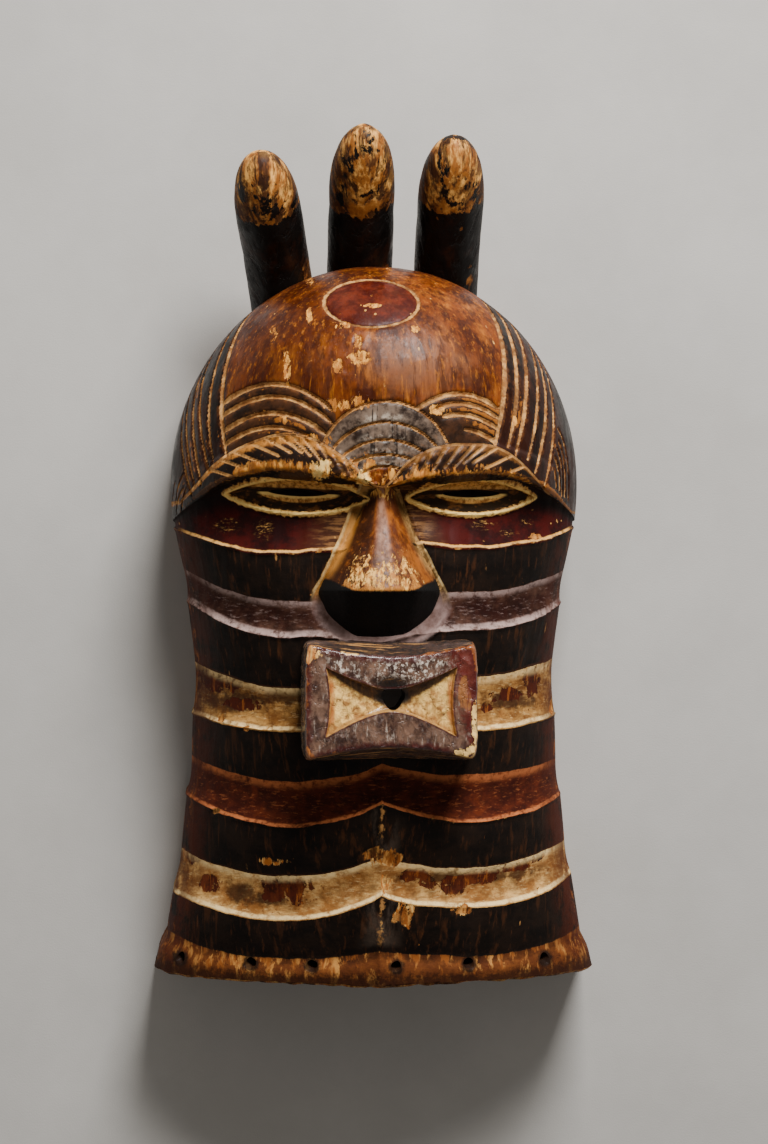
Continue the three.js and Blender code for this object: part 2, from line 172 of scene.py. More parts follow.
def faceHalfWidthAt(y, inset):
    up = np.clip((y - form["waistY"]) / (form["templeY"] - form["waistY"]), 0, None)
    down = np.clip((form["waistY"] - y) / (form["waistY"] - form["chinY"]), 0, None)
    above = (form["templeHalfWidth"] - form["waistHalfWidth"]) * up ** 1.5
    below = (form["chinHalfWidth"] - form["waistHalfWidth"]) * down ** 1.9
    return form["waistHalfWidth"] - inset + above + below


def domeMiddleZ(y, inset):
    top, crown = form["domeTopZ"] - inset, form["crownZ"]
    reach = unit((y - form["domeTopY"]) / (form["crownY"] - inset - form["domeTopY"]))
    sag = form["domeSag"] * ((form["domeTopY"] - y) / (form["domeTopY"] - form["domeWidestY"])) ** 2
    return np.where(y > form["domeTopY"], crown + (top - crown) * np.sqrt(1 - reach * reach), top - sag)


def faceMiddleZ(y, inset):
    up = (y - form["lipY"]) / (nose["topY"] - form["lipY"])
    down = np.clip((form["lipY"] - y) / (form["lipY"] - form["chinY"]), 0, None)
    above = blend(form["faceTopZ"], form["bridgeTopZ"], up ** 2)
    below = blend(form["faceTopZ"], form["chinTopZ"], down ** 1.5)
    return np.where(y > form["lipY"], above, below) - inset


def wallZ(y, inset):
    rise = unit((y - form["domeWidestY"]) / (form["crownY"] - inset - form["domeWidestY"]))
    return blend(form["sideWallZ"], form["crownZ"], rise * rise)


def carvedDepth(share, y):
    out = np.abs(share)
    heights = lineHeights(share + 0 * y)
    up = (y - heights[0]) / (form["browHeight"] * (0.1 + 0.9 * smoothstep(0, 0.25, out)))
    brow = form["browRise"] * (1 - smoothstep(0.7, 0.95, out)) * np.sqrt(unit(1 - up * up))
    brow = brow * smoothstep(0, 1.6, y - heights[0])
    zone = np.zeros(heights[0].shape, int)
    for number in range(1, lastZone + 1):
        zone += y < heights[number]
    upper = np.take_along_axis(heights, zone[None], 0)[0]
    lower = np.take_along_axis(heights, zone[None] + 1, 0)[0]
    down = unit((upper - y) / (upper - lower))
    keel = form["keelRise"] * np.exp(-out / form["keelSpread"])
    keel = keel * (1 - smoothstep(form["keelY"] - 20, form["keelY"], y))
    scoop = np.where(zone == 0, form["socketScoop"] * (1 - smoothstep(0.7, 1, out)), form["fluteScoop"])
    band = form["fluteLip"] * (1 - down * down)
    rimBand = form["rimBandRise"] * smoothstep(0, 0.6, down)
    flute = form["fluteLip"] * down ** 4 - 4 * scoop * down * (1 - down)
    bands = np.where(zone % 2 == 1, band, flute)
    bands = blend(bands, 0.3 * bands + 0.9, smoothstep(0.72, 0.98, out))
    carved = keel + np.where(zone == lastZone, rimBand, bands)
    return np.where(y > heights[0], brow, carved)


# The arch of the mask at one height: half width, middle height, straight side wall and roundness.
def archAt(share, y, inset):
    heights = lineHeights(share + 0 * y)
    below = (heights[0] - (y - inset)) / (heights[0] - heights[1])
    onDome = 1 - smoothstep(-0.1, 0.12, below)
    halfWidth = blend(faceHalfWidthAt(y, inset), domeHalfWidthAt(y, inset), onDome)
    middle = blend(faceMiddleZ(y, inset), domeMiddleZ(y, inset), onDome)
    power = blend(blend(1.75, 2, smoothstep(-140, 20, y)), 2, onDome)
    return halfWidth, middle, wallZ(y, inset), power


def surfaceZ(x, y):
    x, y = np.asarray(x, float), np.asarray(y, float)
    guess = np.where(y > carvedLines[0][0], domeHalfWidthAt(y, 0), faceHalfWidthAt(y, 0))
    share = np.clip(x / guess, -1, 1)
    halfWidth, middle, wall, power = archAt(share, y, 0)
    depth = carvedDepth(share, y)
    across = unit(np.abs(x) / (halfWidth + depth))
    return wall + (middle + depth - wall) * (1 - across ** power) ** (1 / power)


# Rows of points over the arch. angle runs across, from the left wall to the right one.
def archPoints(angle, y, inset):
    share = np.cos(angle) + 0 * y
    halfWidth, middle, wall, power = archAt(share, y, inset)
    depth = 0 if inset else carvedDepth(share, y)
    x = np.sign(share) * (halfWidth + depth) * np.abs(share) ** (2 / power)
    z = wall + (middle + depth - wall) * np.abs(np.sin(angle)) ** (2 / power)
    return np.stack([x, y, z], -1)


# Meshes

# Faces through a grid of rings. Each ring closes on itself, and caps close the two ends.
def loftFaces(rings, sides, capStart=True, capEnd=True):
    ring, side = np.meshgrid(np.arange(rings - 1), np.arange(sides), indexing="ij")
    here, after = ring * sides, (ring + 1) * sides
    turn = (side + 1) % sides
    faces = [np.stack([here + side, here + turn, after + turn], -1).reshape(-1, 3),
             np.stack([here + side, after + turn, after + side], -1).reshape(-1, 3)]
    middle = rings * sides
    if capStart:
        faces.append(capFaces(sides, middle))
        middle += 1
    if capEnd:
        end = capFaces(sides, middle)[:, ::-1].copy()
        end[end != middle] += (rings - 1) * sides
        faces.append(end)
    return np.concatenate(faces)


# Closes the first ring with a fan round one middle point.
def capFaces(sides, middle):
    first = np.arange(sides)
    return np.stack([np.full(sides, middle), (first + 1) % sides, first], -1)


# Joins two rings with different numbers of points. placeA and placeB say where each point lies.
def zipFaces(startA, placeA, startB, placeB):
    faces, i, j = [], 0, 0
    while i < len(placeA) - 1 or j < len(placeB) - 1:
        moveA = j == len(placeB) - 1 or (i < len(placeA) - 1 and placeA[i + 1] < placeB[j + 1])
        if moveA:
            faces.append((startA + i, startA + i + 1, startB + j))
            i += 1
        else:
            faces.append((startA + i, startB + j + 1, startB + j))
            j += 1
    faces.append((startA + i, startA, startB + j))
    faces.append((startA, startB, startB + j))
    return np.array(faces)


# Six times the volume under a set of faces. It is negative where they look inwards.
def volume(points, faces):
    a, b, c = (points[faces[:, i]] for i in range(3))
    return np.einsum("ij,ij->i", a, np.cross(b, c)).sum()


# The block's points before it is joined to the rest, and what the materials need to know at each.
known = {}


# Makes one closed mesh. Points in the same place are merged, and its faces look outwards.
def addShell(name, finish, points, faces, fields=None):
    cells = np.round(points / 0.002).astype(np.int64)
    _, kept, merged = np.unique(cells, axis=0, return_index=True, return_inverse=True)
    faces = merged.reshape(-1)[faces]
    faces = faces[(faces[:, 0] != faces[:, 1]) & (faces[:, 1] != faces[:, 2]) & (faces[:, 2] != faces[:, 0])]
    if volume(points[kept], faces) < 0:
        faces = faces[:, ::-1]
    mesh = bpy.data.meshes.new(name)
    mesh.from_pydata((points[kept] * mm).tolist(), [], faces.tolist())
    for material in woodMaterials:
        mesh.materials.append(material)
    mesh.polygons.foreach_set("material_index", np.full(len(mesh.polygons), finishes.index(finish), np.int32))
    mesh.update()
    if fields:
        known.update(points=points[kept], values={name: grid[kept] for name, grid in fields.items()})
    return addObject(name, mesh)


def makeShell(name, finish, rings, capStart=True, capEnd=True):
    count, sides = rings.shape[:2]
    middles = [rings[0].mean(0)] * capStart + [rings[-1].mean(0)] * capEnd
    points = np.concatenate([rings.reshape(-1, 3), np.array(middles).reshape(-1, 3)])
    return addShell(name, finish, points, loftFaces(count, sides, capStart, capEnd))


# Outward normals of a grid of points whose rings run the same way round.
def gridNormals(points, turned=1):
    down = np.gradient(points, axis=0)
    across = np.gradient(points, axis=1)
    normal = turned * np.cross(across, down)
    return normal / np.maximum(np.linalg.norm(normal, axis=-1, keepdims=True), 1e-9)


# Distance from each point to a run of points, over half the width of the cut that follows it.
def cutDistance(px, py, run, halfWidth, taper=0.25):
    nearest = np.full(np.shape(px), 99.0)
    lengths = np.hypot(*np.diff(run, axis=0).T)
    total, done = lengths.sum(), 0
    for (ax, ay), (bx, by), length in zip(run[:-1], run[1:], lengths):
        along = unit(((px - ax) * (bx - ax) + (py - ay) * (by - ay)) / length ** 2)
        gap = np.hypot(px - blend(ax, bx, along), py - blend(ay, by, along))
        place = (done + along * length) / total
        width = halfWidth * (1 - (1 - smoothstep(0, taper, np.minimum(place, 1 - place))) * 0.45)
        nearest = np.minimum(nearest, gap / width)
        done += length
    return nearest


def bezier(foot, bow, top, count):
    t = np.linspace(0, 1, count)[:, None]
    foot, bow, top = (np.array(point, float) for point in (foot, bow, top))
    return (1 - t) ** 2 * foot + 2 * t * (1 - t) * bow + t ** 2 * top


# A smooth height through a few [x, y] points.
def smoothThrough(stations, x):
    stations = np.array(stations, float)
    slopes = np.gradient(stations[:, 1], stations[:, 0])
    place = np.clip(np.searchsorted(stations[:, 0], x) - 1, 0, len(stations) - 2)
    x0, y0, m0 = stations[place, 0], stations[place, 1], slopes[place]
    x1, y1, m1 = stations[place + 1, 0], stations[place + 1, 1], slopes[place + 1]
    step = x1 - x0
    t = unit((x - x0) / step)
    return ((2 * t ** 3 - 3 * t ** 2 + 1) * y0 + (t ** 3 - 2 * t ** 2 + t) * step * m0
            + (3 * t ** 2 - 2 * t ** 3) * y1 + (t ** 3 - t ** 2) * step * m1)


# The forehead

forehead = {
    "grooveHalfWidth": 1.6,
    "grooveDepth": 1.4,
    "humps": [
        {"x": -68, "bend": 40, "tops": [(114.7, -98, -31), (107, -98, -31), (97, -98, -33),
                                        (88.3, -98, -36)]},
        {"x": 47, "bend": 36, "tops": [(108.5, 18, 71), (102.5, 32, 71), (95.8, 36, 71), (87, 50, 71)]},
    ],
    # arcs one under the other: height of the top, radius
    "rings": {"x": 1.5, "halfWidth": 1.05, "arcs": [(103.2, 41), (90.7, 40), (80.1, 39), (71.1, 42),
                                                    (64, 26)]},
    "templeLeft": [
        ((-95, 71), (-104, 117), (-86.5, 153.5), 2.1),
        ((-103.5, 68), (-110.5, 108), (-96.5, 143), 1.6),
        ((-105.9, 62), (-116.9, 103.5), (-106.7, 131), 1.6),
        ((-110.4, 54), (-120.9, 95.8), (-111.8, 122.4), 1.7),
        ((-114.5, 53), (-123.6, 85.8), (-118.3, 111.5), 1.7),
        ((-116.4, 48), (-126.4, 77), (-122.1, 102), 1.6),
    ],
    "templeRight": [
        ((69.5, 78.5), (83, 130), (70.5, 164), 2.2),
        ((78, 77), (90.2, 119.3), (79.6, 156.5), 2.1),
        ((83, 72), (97, 122), (87.5, 152), 2),
        ((91.2, 69.5), (102.2, 105), (97.6, 140.4), 1.6),
        ((96.1, 61.6), (108.5, 97.8), (103, 130.8), 1.8),
        ((101.8, 51.5), (113.7, 86.2), (108.8, 120.2), 1.5),
    ],
    # thin lines that fan out behind the temples
    "fans": [
        ((118.9, 73), (118, 84), (112.9, 90.7), 1.0), ((118.4, 45.4), (119.3, 70), (112.9, 83.2), 1.05),
        ((115.9, 46), (117.8, 66), (111.4, 78.6), 1.05), ((113.9, 50), (115, 62), (110.1, 72), 1.0),
        ((111.4, 52), (111, 58), (109.4, 65.5), 0.95), ((120.9, 45.4), (121.6, 60), (119.4, 73), 0.95),
        ((-123.1, 38.8), (-122.8, 46), (-120, 52), 0.95), ((-126.6, 35.5), (-126.8, 46), (-121.6, 53), 1.0),
        ((-127, 42), (-126.5, 53), (-122.1, 61.5), 1.0), ((-129.5, 42), (-129.1, 50), (-127, 58), 0.95),
    ],
    "browTop": [(-124, 44), (-113, 55), (-105, 64), (-95, 71.5), (-77, 80), (-59, 83.9), (-38.9, 79),
                (-20, 66), (0, 51.5), (14.8, 66.5), (36.3, 76.3), (54.3, 77.7), (71.5, 75.7),
                (81.9, 70.4), (92.7, 61.5), (100.6, 53.5), (112, 44), (124, 38)],
    "crownRing": {"x": -6, "y": 165, "halfWidth": 29, "halfHeight": 16, "lineHalfWidth": 1.2, "depth": 0.9},
    # slanting cuts: x of each upper end, and how far they lean inwards as they run down
    "hatch": {"tops": [22, 30.5, 39, 48, 56, -24, -32, -40, -49, -56, -63.5, -71.5, -80.4, -91, -98.5,
                       -105.5, 63.2, 70.5, 80.2, 88.6],
              "halfWidth": 0.95, "depth": 0.9,
              "lean": [(20, 0.45), (40, 0.6), (55, 0.85), (64, 1.3), (80, 2.1), (105, 2.8)]},
    "tickDepth": 0.5,
}


def browTopY(x):
    return smoothThrough(forehead["browTop"], x)


# Place up the brow: 0 at its foot, 1 along its top.
def browPlace(x, y):
    foot = lineHeights(np.clip(x / form["domeHalfWidth"], -1, 1))[0]
    return (y - foot) / np.maximum(browTopY(x) - foot, 1)


# Distance to the nearest of the slanting cuts across the brows.
def hatchGap(x, y):
    hatch = forehead["hatch"]
    nearest = np.full(np.shape(x), 6.0)
    leanAt, leans = np.transpose(hatch["lean"])
    for top in hatch["tops"]:
        side, lean = np.sign(top), np.interp(abs(top), leanAt, leans)
        high = float(browTopY(top))
        low = high - 26 / (1 + lean)
        cut = np.array([(top + 2 * side * lean, high + 2), (top - side * lean * (high - low), low)])
        nearest = np.minimum(nearest, cutDistance(x, y, cut, 1, 1e-6))
    return nearest


# Distance outside the painted ring on the crown.
def crownRingGap(x, y):
    ring = forehead["crownRing"]
    return (ovalReach(ring, x, y) - 1) * ring["halfWidth"] * 0.75


# Distance round the mask from its middle line, at one height.
def roundAt(x, y):
    halfWidth = np.maximum(domeHalfWidthAt(y, 0), 1)
    return halfWidth * np.arcsin(np.clip(x / halfWidth, -1, 1))


# Height of each arc over the nose at x. An arc ends where its circle would turn back.
def arcHeights(x):
    across = np.abs(x - forehead["rings"]["x"])
    return [top - radius + np.sqrt(np.clip(radius ** 2 - across ** 2, 0, None))
            for top, radius in forehead["rings"]["arcs"]]


# How far inside the plates between the arcs over the brows a point lies.
def plateInside(x, y):
    rings = forehead["rings"]
    heights = arcHeights(x)
    inRings = np.minimum(heights[0] - y, y - heights[-1])
    inRings = np.where(np.abs(x - rings["x"]) < rings["arcs"][0][1], inRings, -20)
    inHumps = []
    for hump in forehead["humps"]:
        top, start, end = hump["tops"][0]
        arc = top - (x - hump["x"]) ** 2 / (2 * hump["bend"])
        inHumps.append(np.minimum(arc - y, np.minimum(x - start, end - x) + 2))
    return np.minimum(np.maximum(inRings, np.maximum(*inHumps)), y - browTopY(x))


# Place among the arcs over the nose: each whole number is an arc, counted from the top down.
def ringRow(x, y):
    heights = arcHeights(x)
    row = np.where(y > heights[0], -1.0, 4.0)
    for number, (upper, lower) in enumerate(zip(heights[:-1], heights[1:])):
        between = (y <= upper) & (y > lower)
        row = np.where(between, number + (upper - y) / np.maximum(upper - lower, 0.1), row)
    return row


# Distance to the nearest small upright cut in the plates over the nose.
def tickGap(x, y):
    across, row = x - forehead["rings"]["x"], ringRow(x, y)
    place = across / 4.6 + 0.37 * np.floor(row) + 0.25 * np.sin(across * 0.9 + 2 * np.floor(row))
    gap = np.abs(place - np.round(place)) * 4.6
    return np.where((row > 0) & (row < 4) & (np.abs(across) < 13), gap, 9.0)


# Distance outside the highest arc over the nose.
def ringsGap(x, y):
    top, radius = forehead["rings"]["arcs"][0]
    return np.hypot(x - forehead["rings"]["x"], y - top + radius) - radius


# A curved cut as distances round the mask and heights.
def unrolled(foot, bow, top, count):
    line = bezier(foot, bow, top, count)
    return np.stack([roundAt(line[:, 0], line[:, 1]), line[:, 1]], -1)


# How far inside the strips on the temples a point lies. around is its distance round the mask.
def templeInside(around, y):
    inside = []
    for side, name in ((-1, "templeLeft"), (1, "templeRight")):
        foot, bow, top, _ = forehead[name][0]
        edge = unrolled(foot, bow, top, 12)
        past = edge[-1, 0] + (y - top[1]) * (edge[-1, 0] - edge[-3, 0]) / (edge[-1, 1] - edge[-3, 1])
        border = np.where(y > top[1], past, np.interp(y, edge[:, 1], edge[:, 0]))
        inside.append(side * (around - border))
    return np.maximum(*inside)


# Distance to the nearest cut line on the forehead, over half its width.
def grooveField(x, y, around):
    nearest = np.full(np.shape(x), 99.0)
    rings = forehead["rings"]
    half = forehead["grooveHalfWidth"]
    insideTemple = templeInside(around, y)
    overBrow = y > browTopY(x) + 0.5
    for top, radius in rings["arcs"]:
        gap = np.abs(np.hypot(x - rings["x"], y - top + radius) - radius) / rings["halfWidth"]
        shown = overBrow & (y > top - radius * 0.75)
        nearest = np.where(shown, np.minimum(nearest, gap), nearest)
    for hump in forehead["humps"]:
        for top, start, end in hump["tops"]:
            across = np.linspace(start, end, 24)
            arc = np.stack([across, top - (across - hump["x"]) ** 2 / (2 * hump["bend"])], -1)
            gap = cutDistance(x, y, arc, half, 0.08)
            shown = overBrow & (ringsGap(x, y) > 0) & (insideTemple < 1)
            nearest = np.where(shown, np.minimum(nearest, gap), nearest)
    for *curve, width in forehead["templeLeft"] + forehead["templeRight"]:
        run = unrolled(*curve, 12)
        beyond = run[-1] + (run[-1] - run[-3]) / np.hypot(*(run[-1] - run[-3])) * 45
        nearest = np.minimum(nearest, cutDistance(around, y, np.vstack([run, beyond]), width, 0.2))
    for *curve, width in forehead["fans"]:
        nearest = np.minimum(nearest, cutDistance(around, y, unrolled(*curve, 8), width, 0.1))
    return nearest


# The eyes

eyeShape = {
    "eyes": [{"x": -51, "y": 47, "halfLength": 45, "tilt": -0.05},
             {"x": 56, "y": 46.5, "halfLength": 41, "tilt": 0.02}],
    "halfHeight": 11.5,
    "rimRise": 2.4, "rimHalfWidth": 1.55,
    "slitHalfLength": 18.5, "slitHalfHeight": 2.5, "slitUp": 1.9,
    "lowerLid": {"height": 5.6, "rise": 2.7, "halfLength": 0.56},
    "upperLidRise": 2.6, "sunk": 1.4,
}


# For each point: how far outside the almond it lies, the place along the nearer eye and above it.
def eyeFields(x, y):
    outside = np.full(np.shape(x), 60.0)
    along = np.full(np.shape(x), 3.0)
    above = np.zeros(np.shape(x))
    for eye in eyeShape["eyes"]:
        dx, dy = x - eye["x"], y - eye["y"]
        ex = dx * math.cos(eye["tilt"]) + dy * math.sin(eye["tilt"])
        ey = dy * math.cos(eye["tilt"]) - dx * math.sin(eye["tilt"])
        angle = np.linspace(0, 2 * np.pi, 121)
        sine = np.sin(angle)
        rim = np.stack([eye["halfLength"] * np.cos(angle),
                        eyeShape["halfHeight"] * sine * np.abs(sine) ** 0.7], -1)
        gap = cutDistance(ex, ey, rim, 1, 1e-6)
        share = unit(np.abs(ex) / eye["halfLength"])
        inside = (np.abs(ey) < eyeShape["halfHeight"] * (1 - share ** 2) ** 0.85) & (share < 1)
        gap = np.where(inside, -gap, gap)
        nearer = gap < outside
        outside = np.where(nearer, gap, outside)
        along = np.where(nearer, ex / eye["halfLength"], along)
        above = np.where(nearer, ey, above)
    return outside, along, above


# Place across the lower lid: 0 at its lower edge, 1 at the slit.
def lidPlace(along, above):
    lid = eyeShape["lowerLid"]
    depth = lid["height"] * unit(1 - (along / lid["halfLength"]) ** 2)
    return (above + depth) / np.maximum(depth + 0.6, 0.6)


def eyeRelief(outside, along, above):
    rim = eyeShape["rimRise"] * np.exp(-(np.abs(outside) / eyeShape["rimHalfWidth"]) ** 2.6)
    within = smoothstep(-0.8, -2.6, outside)
    slope = unit((above - 4) / 5)
    upperLid = blend(0.9, eyeShape["upperLidRise"], slope) * smoothstep(2.5, 4.4, above)
    lid = lidPlace(along, above)
    lowerLid = eyeShape["lowerLid"]["rise"] * np.sqrt(unit(3 * lid * (1.15 - lid)))
    lowerLid = lowerLid * smoothstep(eyeShape["lowerLid"]["halfLength"], 0.4, np.abs(along))
    inner = np.maximum(upperLid, lowerLid) - eyeShape["sunk"]
    return np.maximum(rim, within * inner)


# The outside of the mask

nose = {
    "topX": 1, "tipX": -1.5, "topY": 53, "tipY": -11,
    # minus y, and half the width of the nose there
    "halfWidths": [(-53, 5), (-33.8, 9.5), (-14.6, 15), (1.4, 22), (11, 26), (42, 20)],
}

block = {
    "faceStep": 2.0, "domeStep": 1.38,
    "crestStep": 0.7, "stepGrowth": 0.3, "bandStep": 2.6, "eyeStep": 1.2,
    "domeSteps": [(50, 1.15), (122, 1.2), (130, 1.8), (175, 1.7), (183, 3)],
    "wallSteps": 8, "rimRound": 1.6,
    "crestRise": 0.8, "crestReach": 1.1,
    "facet": {"across": 7, "along": 15, "depth": 0.4},
    "uneven": 0.45,
    "endBevel": 1.2,
}
# The smooth channel beside the nose, and the lip on its outer side.
channel = {"width": 6.6, "rightWidth": 4.6, "depth": 1.3, "lipRise": 0.9, "lipHalfWidth": 1.1}
# Cuts and chips in the wood: x, y, half width, half height, depth.
chips = [
    (-58, 123, 1.3, 10, 1.0), (-38.5, 62.5, 7, 6, 0.7), (33, 98.5, 5, 3.5, 0.7), (82.5, 94, 1.6, 4.5, 0.8),
    (-44, 156, 1.4, 6, 0.5), (-15.5, 141, 2.4, 2.6, 0.6), (-14.5, 130, 5, 4, 0.6), (-27, 127, 2.6, 3, 0.5),
    (-22, 122, 3, 2, 0.5), (97.5, 22, 4, 2, 0.9), (-98.5, -92, 2, 2.4, 0.9), (-83, -97, 1.5, 2.6, 0.8),
    (-101, -150, 2.4, 1.6, 0.8), (6, -176, 7, 5, 0.9), (14, -212, 7, 5, 0.7), (51, -209, 6, 3, 0.7),
    (-4, -173, 6, 4, 0.8), (-73.5, 96.5, 3, 2, 0.6), (112, -87, 2, 4, 0.9), (2, 46, 3, 3, 0.8),
]


def columnAngles(step):
    fine = np.linspace(0, np.pi, 4001)
    arc = np.hypot(form["domeHalfWidth"] * np.sin(fine), 118 * np.cos(fine))
    count = np.concatenate([[0], np.cumsum(arc[1:] * np.diff(fine) / step)])
    columns = 2 * round(count[-1] / 2)
    return np.interp(np.linspace(0, count[-1], columns + 1), count, fine)[::-1]


def domeRows():
    up = np.linspace(0, 1, 4001)
    y = blend(carvedLines[0][1], form["crownY"], up)
    z = domeMiddleZ(y, 0)
    length = np.hypot(np.diff(y), np.diff(z))
    steps = np.array(block["domeSteps"], float)
    step = np.interp(y[1:], steps[:, 0], steps[:, 1])
    count = np.concatenate([[0], np.cumsum(length / step)])
    return np.interp(np.linspace(0, count[-1], round(count[-1]) + 1), count, up)


# Places down one band, close together beside its lip.
def bandRows(zone):
    height = carvedLines[zone][1] - carvedLines[zone + 1][1]
    gaps = [0]
    while gaps[-1] < height:
        gaps.append(gaps[-1] + min(block["crestStep"] + block["stepGrowth"] * gaps[-1], block["bandStep"]))
    fromCrest = np.array(gaps) / gaps[-1]
    down = fromCrest if zone % 2 else 1 - fromCrest
    return [zone + place for place in sorted(down, reverse=True) if place > 0]


# Height along Y of each point in one row. place counts the bands from the brow down, and is below 0
# on the dome, down to -1 at the crown.
def rowHeights(heights, place):
    if place <= 0:
        return blend(heights[0], form["crownY"], -place)
    zone = math.ceil(place) - 1
    return blend(heights[zone], heights[zone + 1], place - zone)


# Distance to the nearest lip between two bands.
def crestGaps(heights, rowPlaces):
    rows = []
    for place in rowPlaces:
        zone = max(math.ceil(place) - 1, 0)
        down = place - zone
        height = heights[zone] - heights[zone + 1]
        rows.append(height * (down if zone % 2 else 1 - down) if 0 < place <= lastZone else height * 0 + 40)
    return np.stack(rows)


def domeDetail(x, y, around, groove):
    detail = -forehead["grooveDepth"] * (1 - smoothstep(0.35, 1.1, groove))
    detail += 0.3 * smoothstep(1, 3.2, groove) * (plateInside(x, y) > 0)
    hatch = forehead["hatch"]
    line = hatchGap(x, y) / hatch["halfWidth"]
    up = browPlace(x, y)
    onBrow = smoothstep(0.22, 0.4, up) * smoothstep(1.0, 0.94, up) * (np.abs(x) > 12)
    detail -= hatch["depth"] * (1 - smoothstep(0.4, 1.2, line)) * onBrow
    ragged = smoothstep(0.3, 0, up) * (np.abs(x) < 105)
    detail -= ragged * (0.5 + 0.5 * noise(x / 1.3 + 90, y / 5 + 50, 71)) * 0.6
    ring = np.abs(crownRingGap(x, y)) / forehead["crownRing"]["lineHalfWidth"]
    detail -= forehead["crownRing"]["depth"] * (1 - smoothstep(0.3, 1.2, ring))
    detail -= forehead["tickDepth"] * (1 - smoothstep(0.2, 1.0, tickGap(x, y))) * (groove > 1.2)
    row = ringRow(x, y)
    onRings = (row > 0) & (row < 4) & (np.abs(x - forehead["rings"]["x"]) < 40)
    detail += 0.7 * smoothstep(0.2, 0.9, row % 1) * onRings
    return detail


def noseChannel(x, y):
    gap = noseGap(x, y)
    width = np.where(x < 0, channel["width"], channel["rightWidth"])
    width = blend(width, channel["width"], smoothstep(-12, -24, y))
    inside = unit(gap / width)
    shown = smoothstep(54, 40, y)
    dip = channel["depth"] * 4 * inside * (1 - inside)
    lip = channel["lipRise"] * np.exp(-((gap - width) / channel["lipHalfWidth"]) ** 2)
    return shown * (lip - dip), gap / width


def chipDepth(x, y):
    depth = np.zeros(np.shape(x))
    edge = 0.35 * noise(x / 1.6 + 200, y / 2.4 + 200, 81)
    for cx, cy, rx, ry, deep in chips:
        reach = np.hypot((x - cx) / rx, (y - cy) / ry) + edge
        depth = np.maximum(depth, deep * smoothstep(1.05, 0.7, reach))
    return depth


def carveSurface(angle, rowPlaces):
    share = np.cos(angle)
    share[np.abs(share) < 1e-6] = 0
    heights = lineHeights(share)
    y = np.stack([rowHeights(heights, place) for place in rowPlaces])
    bandPos = np.repeat(np.array(rowPlaces, float)[:, None], len(share), 1)
    base = archPoints(angle[None], y, 0)
    normal = gridNormals(base)
    if rowPlaces[-1] == -1:
        normal[-1] = (0, 1, 0)
    x = base[..., 0]
    around = roundAt(x, y)
    onDome = bandPos <= 0
    wander = 1 + 0.16 * noise(around / 5 + 90, y / 5 + 90, 21)
    wander = wander + 0.1 * noise(around / 1.8 + 90, y / 1.8 + 90, 22)
    groove = np.full(y.shape, 99.0)
    if onDome.any():
        groove = np.where(onDome, grooveField(x, y, around) * wander, 99)
    outside, along, above = eyeFields(x, y)
    crestGap = crestGaps(heights, rowPlaces)
    facet = block["facet"]
    cut = scatterDistance(around / facet["across"] + 40, y / facet["along"] + 40, 31)
    detail = facet["depth"] * (0.4 - cut ** 2) + block["uneven"] * noise(around / 24 + 40, y / 24 + 40, 33)
    detail = detail * np.where(onDome, 0.6, 1) * smoothstep(1, 0.97, np.abs(share) + 0 * y)
    nicks = smoothstep(0.25, 0.6, noise(around / 3.5 + 60, np.round(bandPos) * 7 + 0 * y, 35))
    detail += block["crestRise"] * np.exp(-(crestGap / block["crestReach"]) ** 2) * (1 - 0.9 * nicks)
    dome = np.where(onDome, domeDetail(x, y, around, groove), 0) if onDome.any() else 0
    inSocket = (bandPos > -0.12) & (bandPos < 1.02)
    carvedEyes = np.where(inSocket, eyeRelief(outside, along, above), 0)
    beside, channelPlace = noseChannel(x, y)
    onFace = (bandPos > 0) & (bandPos < 4)
    chip = chipDepth(x, y)
    detail = detail + dome + carvedEyes + np.where(onFace, beside * smoothstep(-2.5, 0.5, outside), 0) - chip
    fields = {
        "bandPos": bandPos, "across": np.broadcast_to(share, y.shape), "crestGap": np.clip(crestGap, 0, 40),
        "groove": np.minimum(groove, 8), "eyeOut": np.clip(outside, -20, 20), "eyeAlong": along,
        "eyeAbove": above, "plate": np.clip(plateInside(x, y), -12, 12),
        "temple": np.clip(templeInside(around, y), -12, 12), "channel": np.clip(channelPlace, -4, 8),
        "chip": np.clip(chip, 0, 2),
    }
    return base + normal * detail[..., None], fields


# Adds the straight side walls that run from the ends of the arch down to the rim.
def addWalls(points, fields):
    rimRound = block["rimRound"]
    wallDown = np.concatenate([np.linspace(0, 1, block["wallSteps"])[1:], [1, 1]])
    drop, tuck = (np.append(np.zeros(block["wallSteps"] - 1), [share * rimRound, rimRound])
                  for share in (0.7, 0.3))

    def wallPoints(end, outward):
        top = points[:, end]
        z = top[:, 2, None] * (1 - wallDown) + rimRound * wallDown - drop
        xs = top[:, 0, None] - outward * np.minimum(tuck, np.abs(top[:, 0, None]))
        return np.stack([xs, np.repeat(top[:, 1, None], len(wallDown), 1), z], -1)

    left, right = wallPoints(0, -1)[:, ::-1], wallPoints(-1, 1)
    added = ((0, 0), (len(wallDown), len(wallDown)))
    fields = {name: np.pad(grid, added, mode="edge") for name, grid in fields.items()}
    return np.concatenate([left, points, right], 1), fields


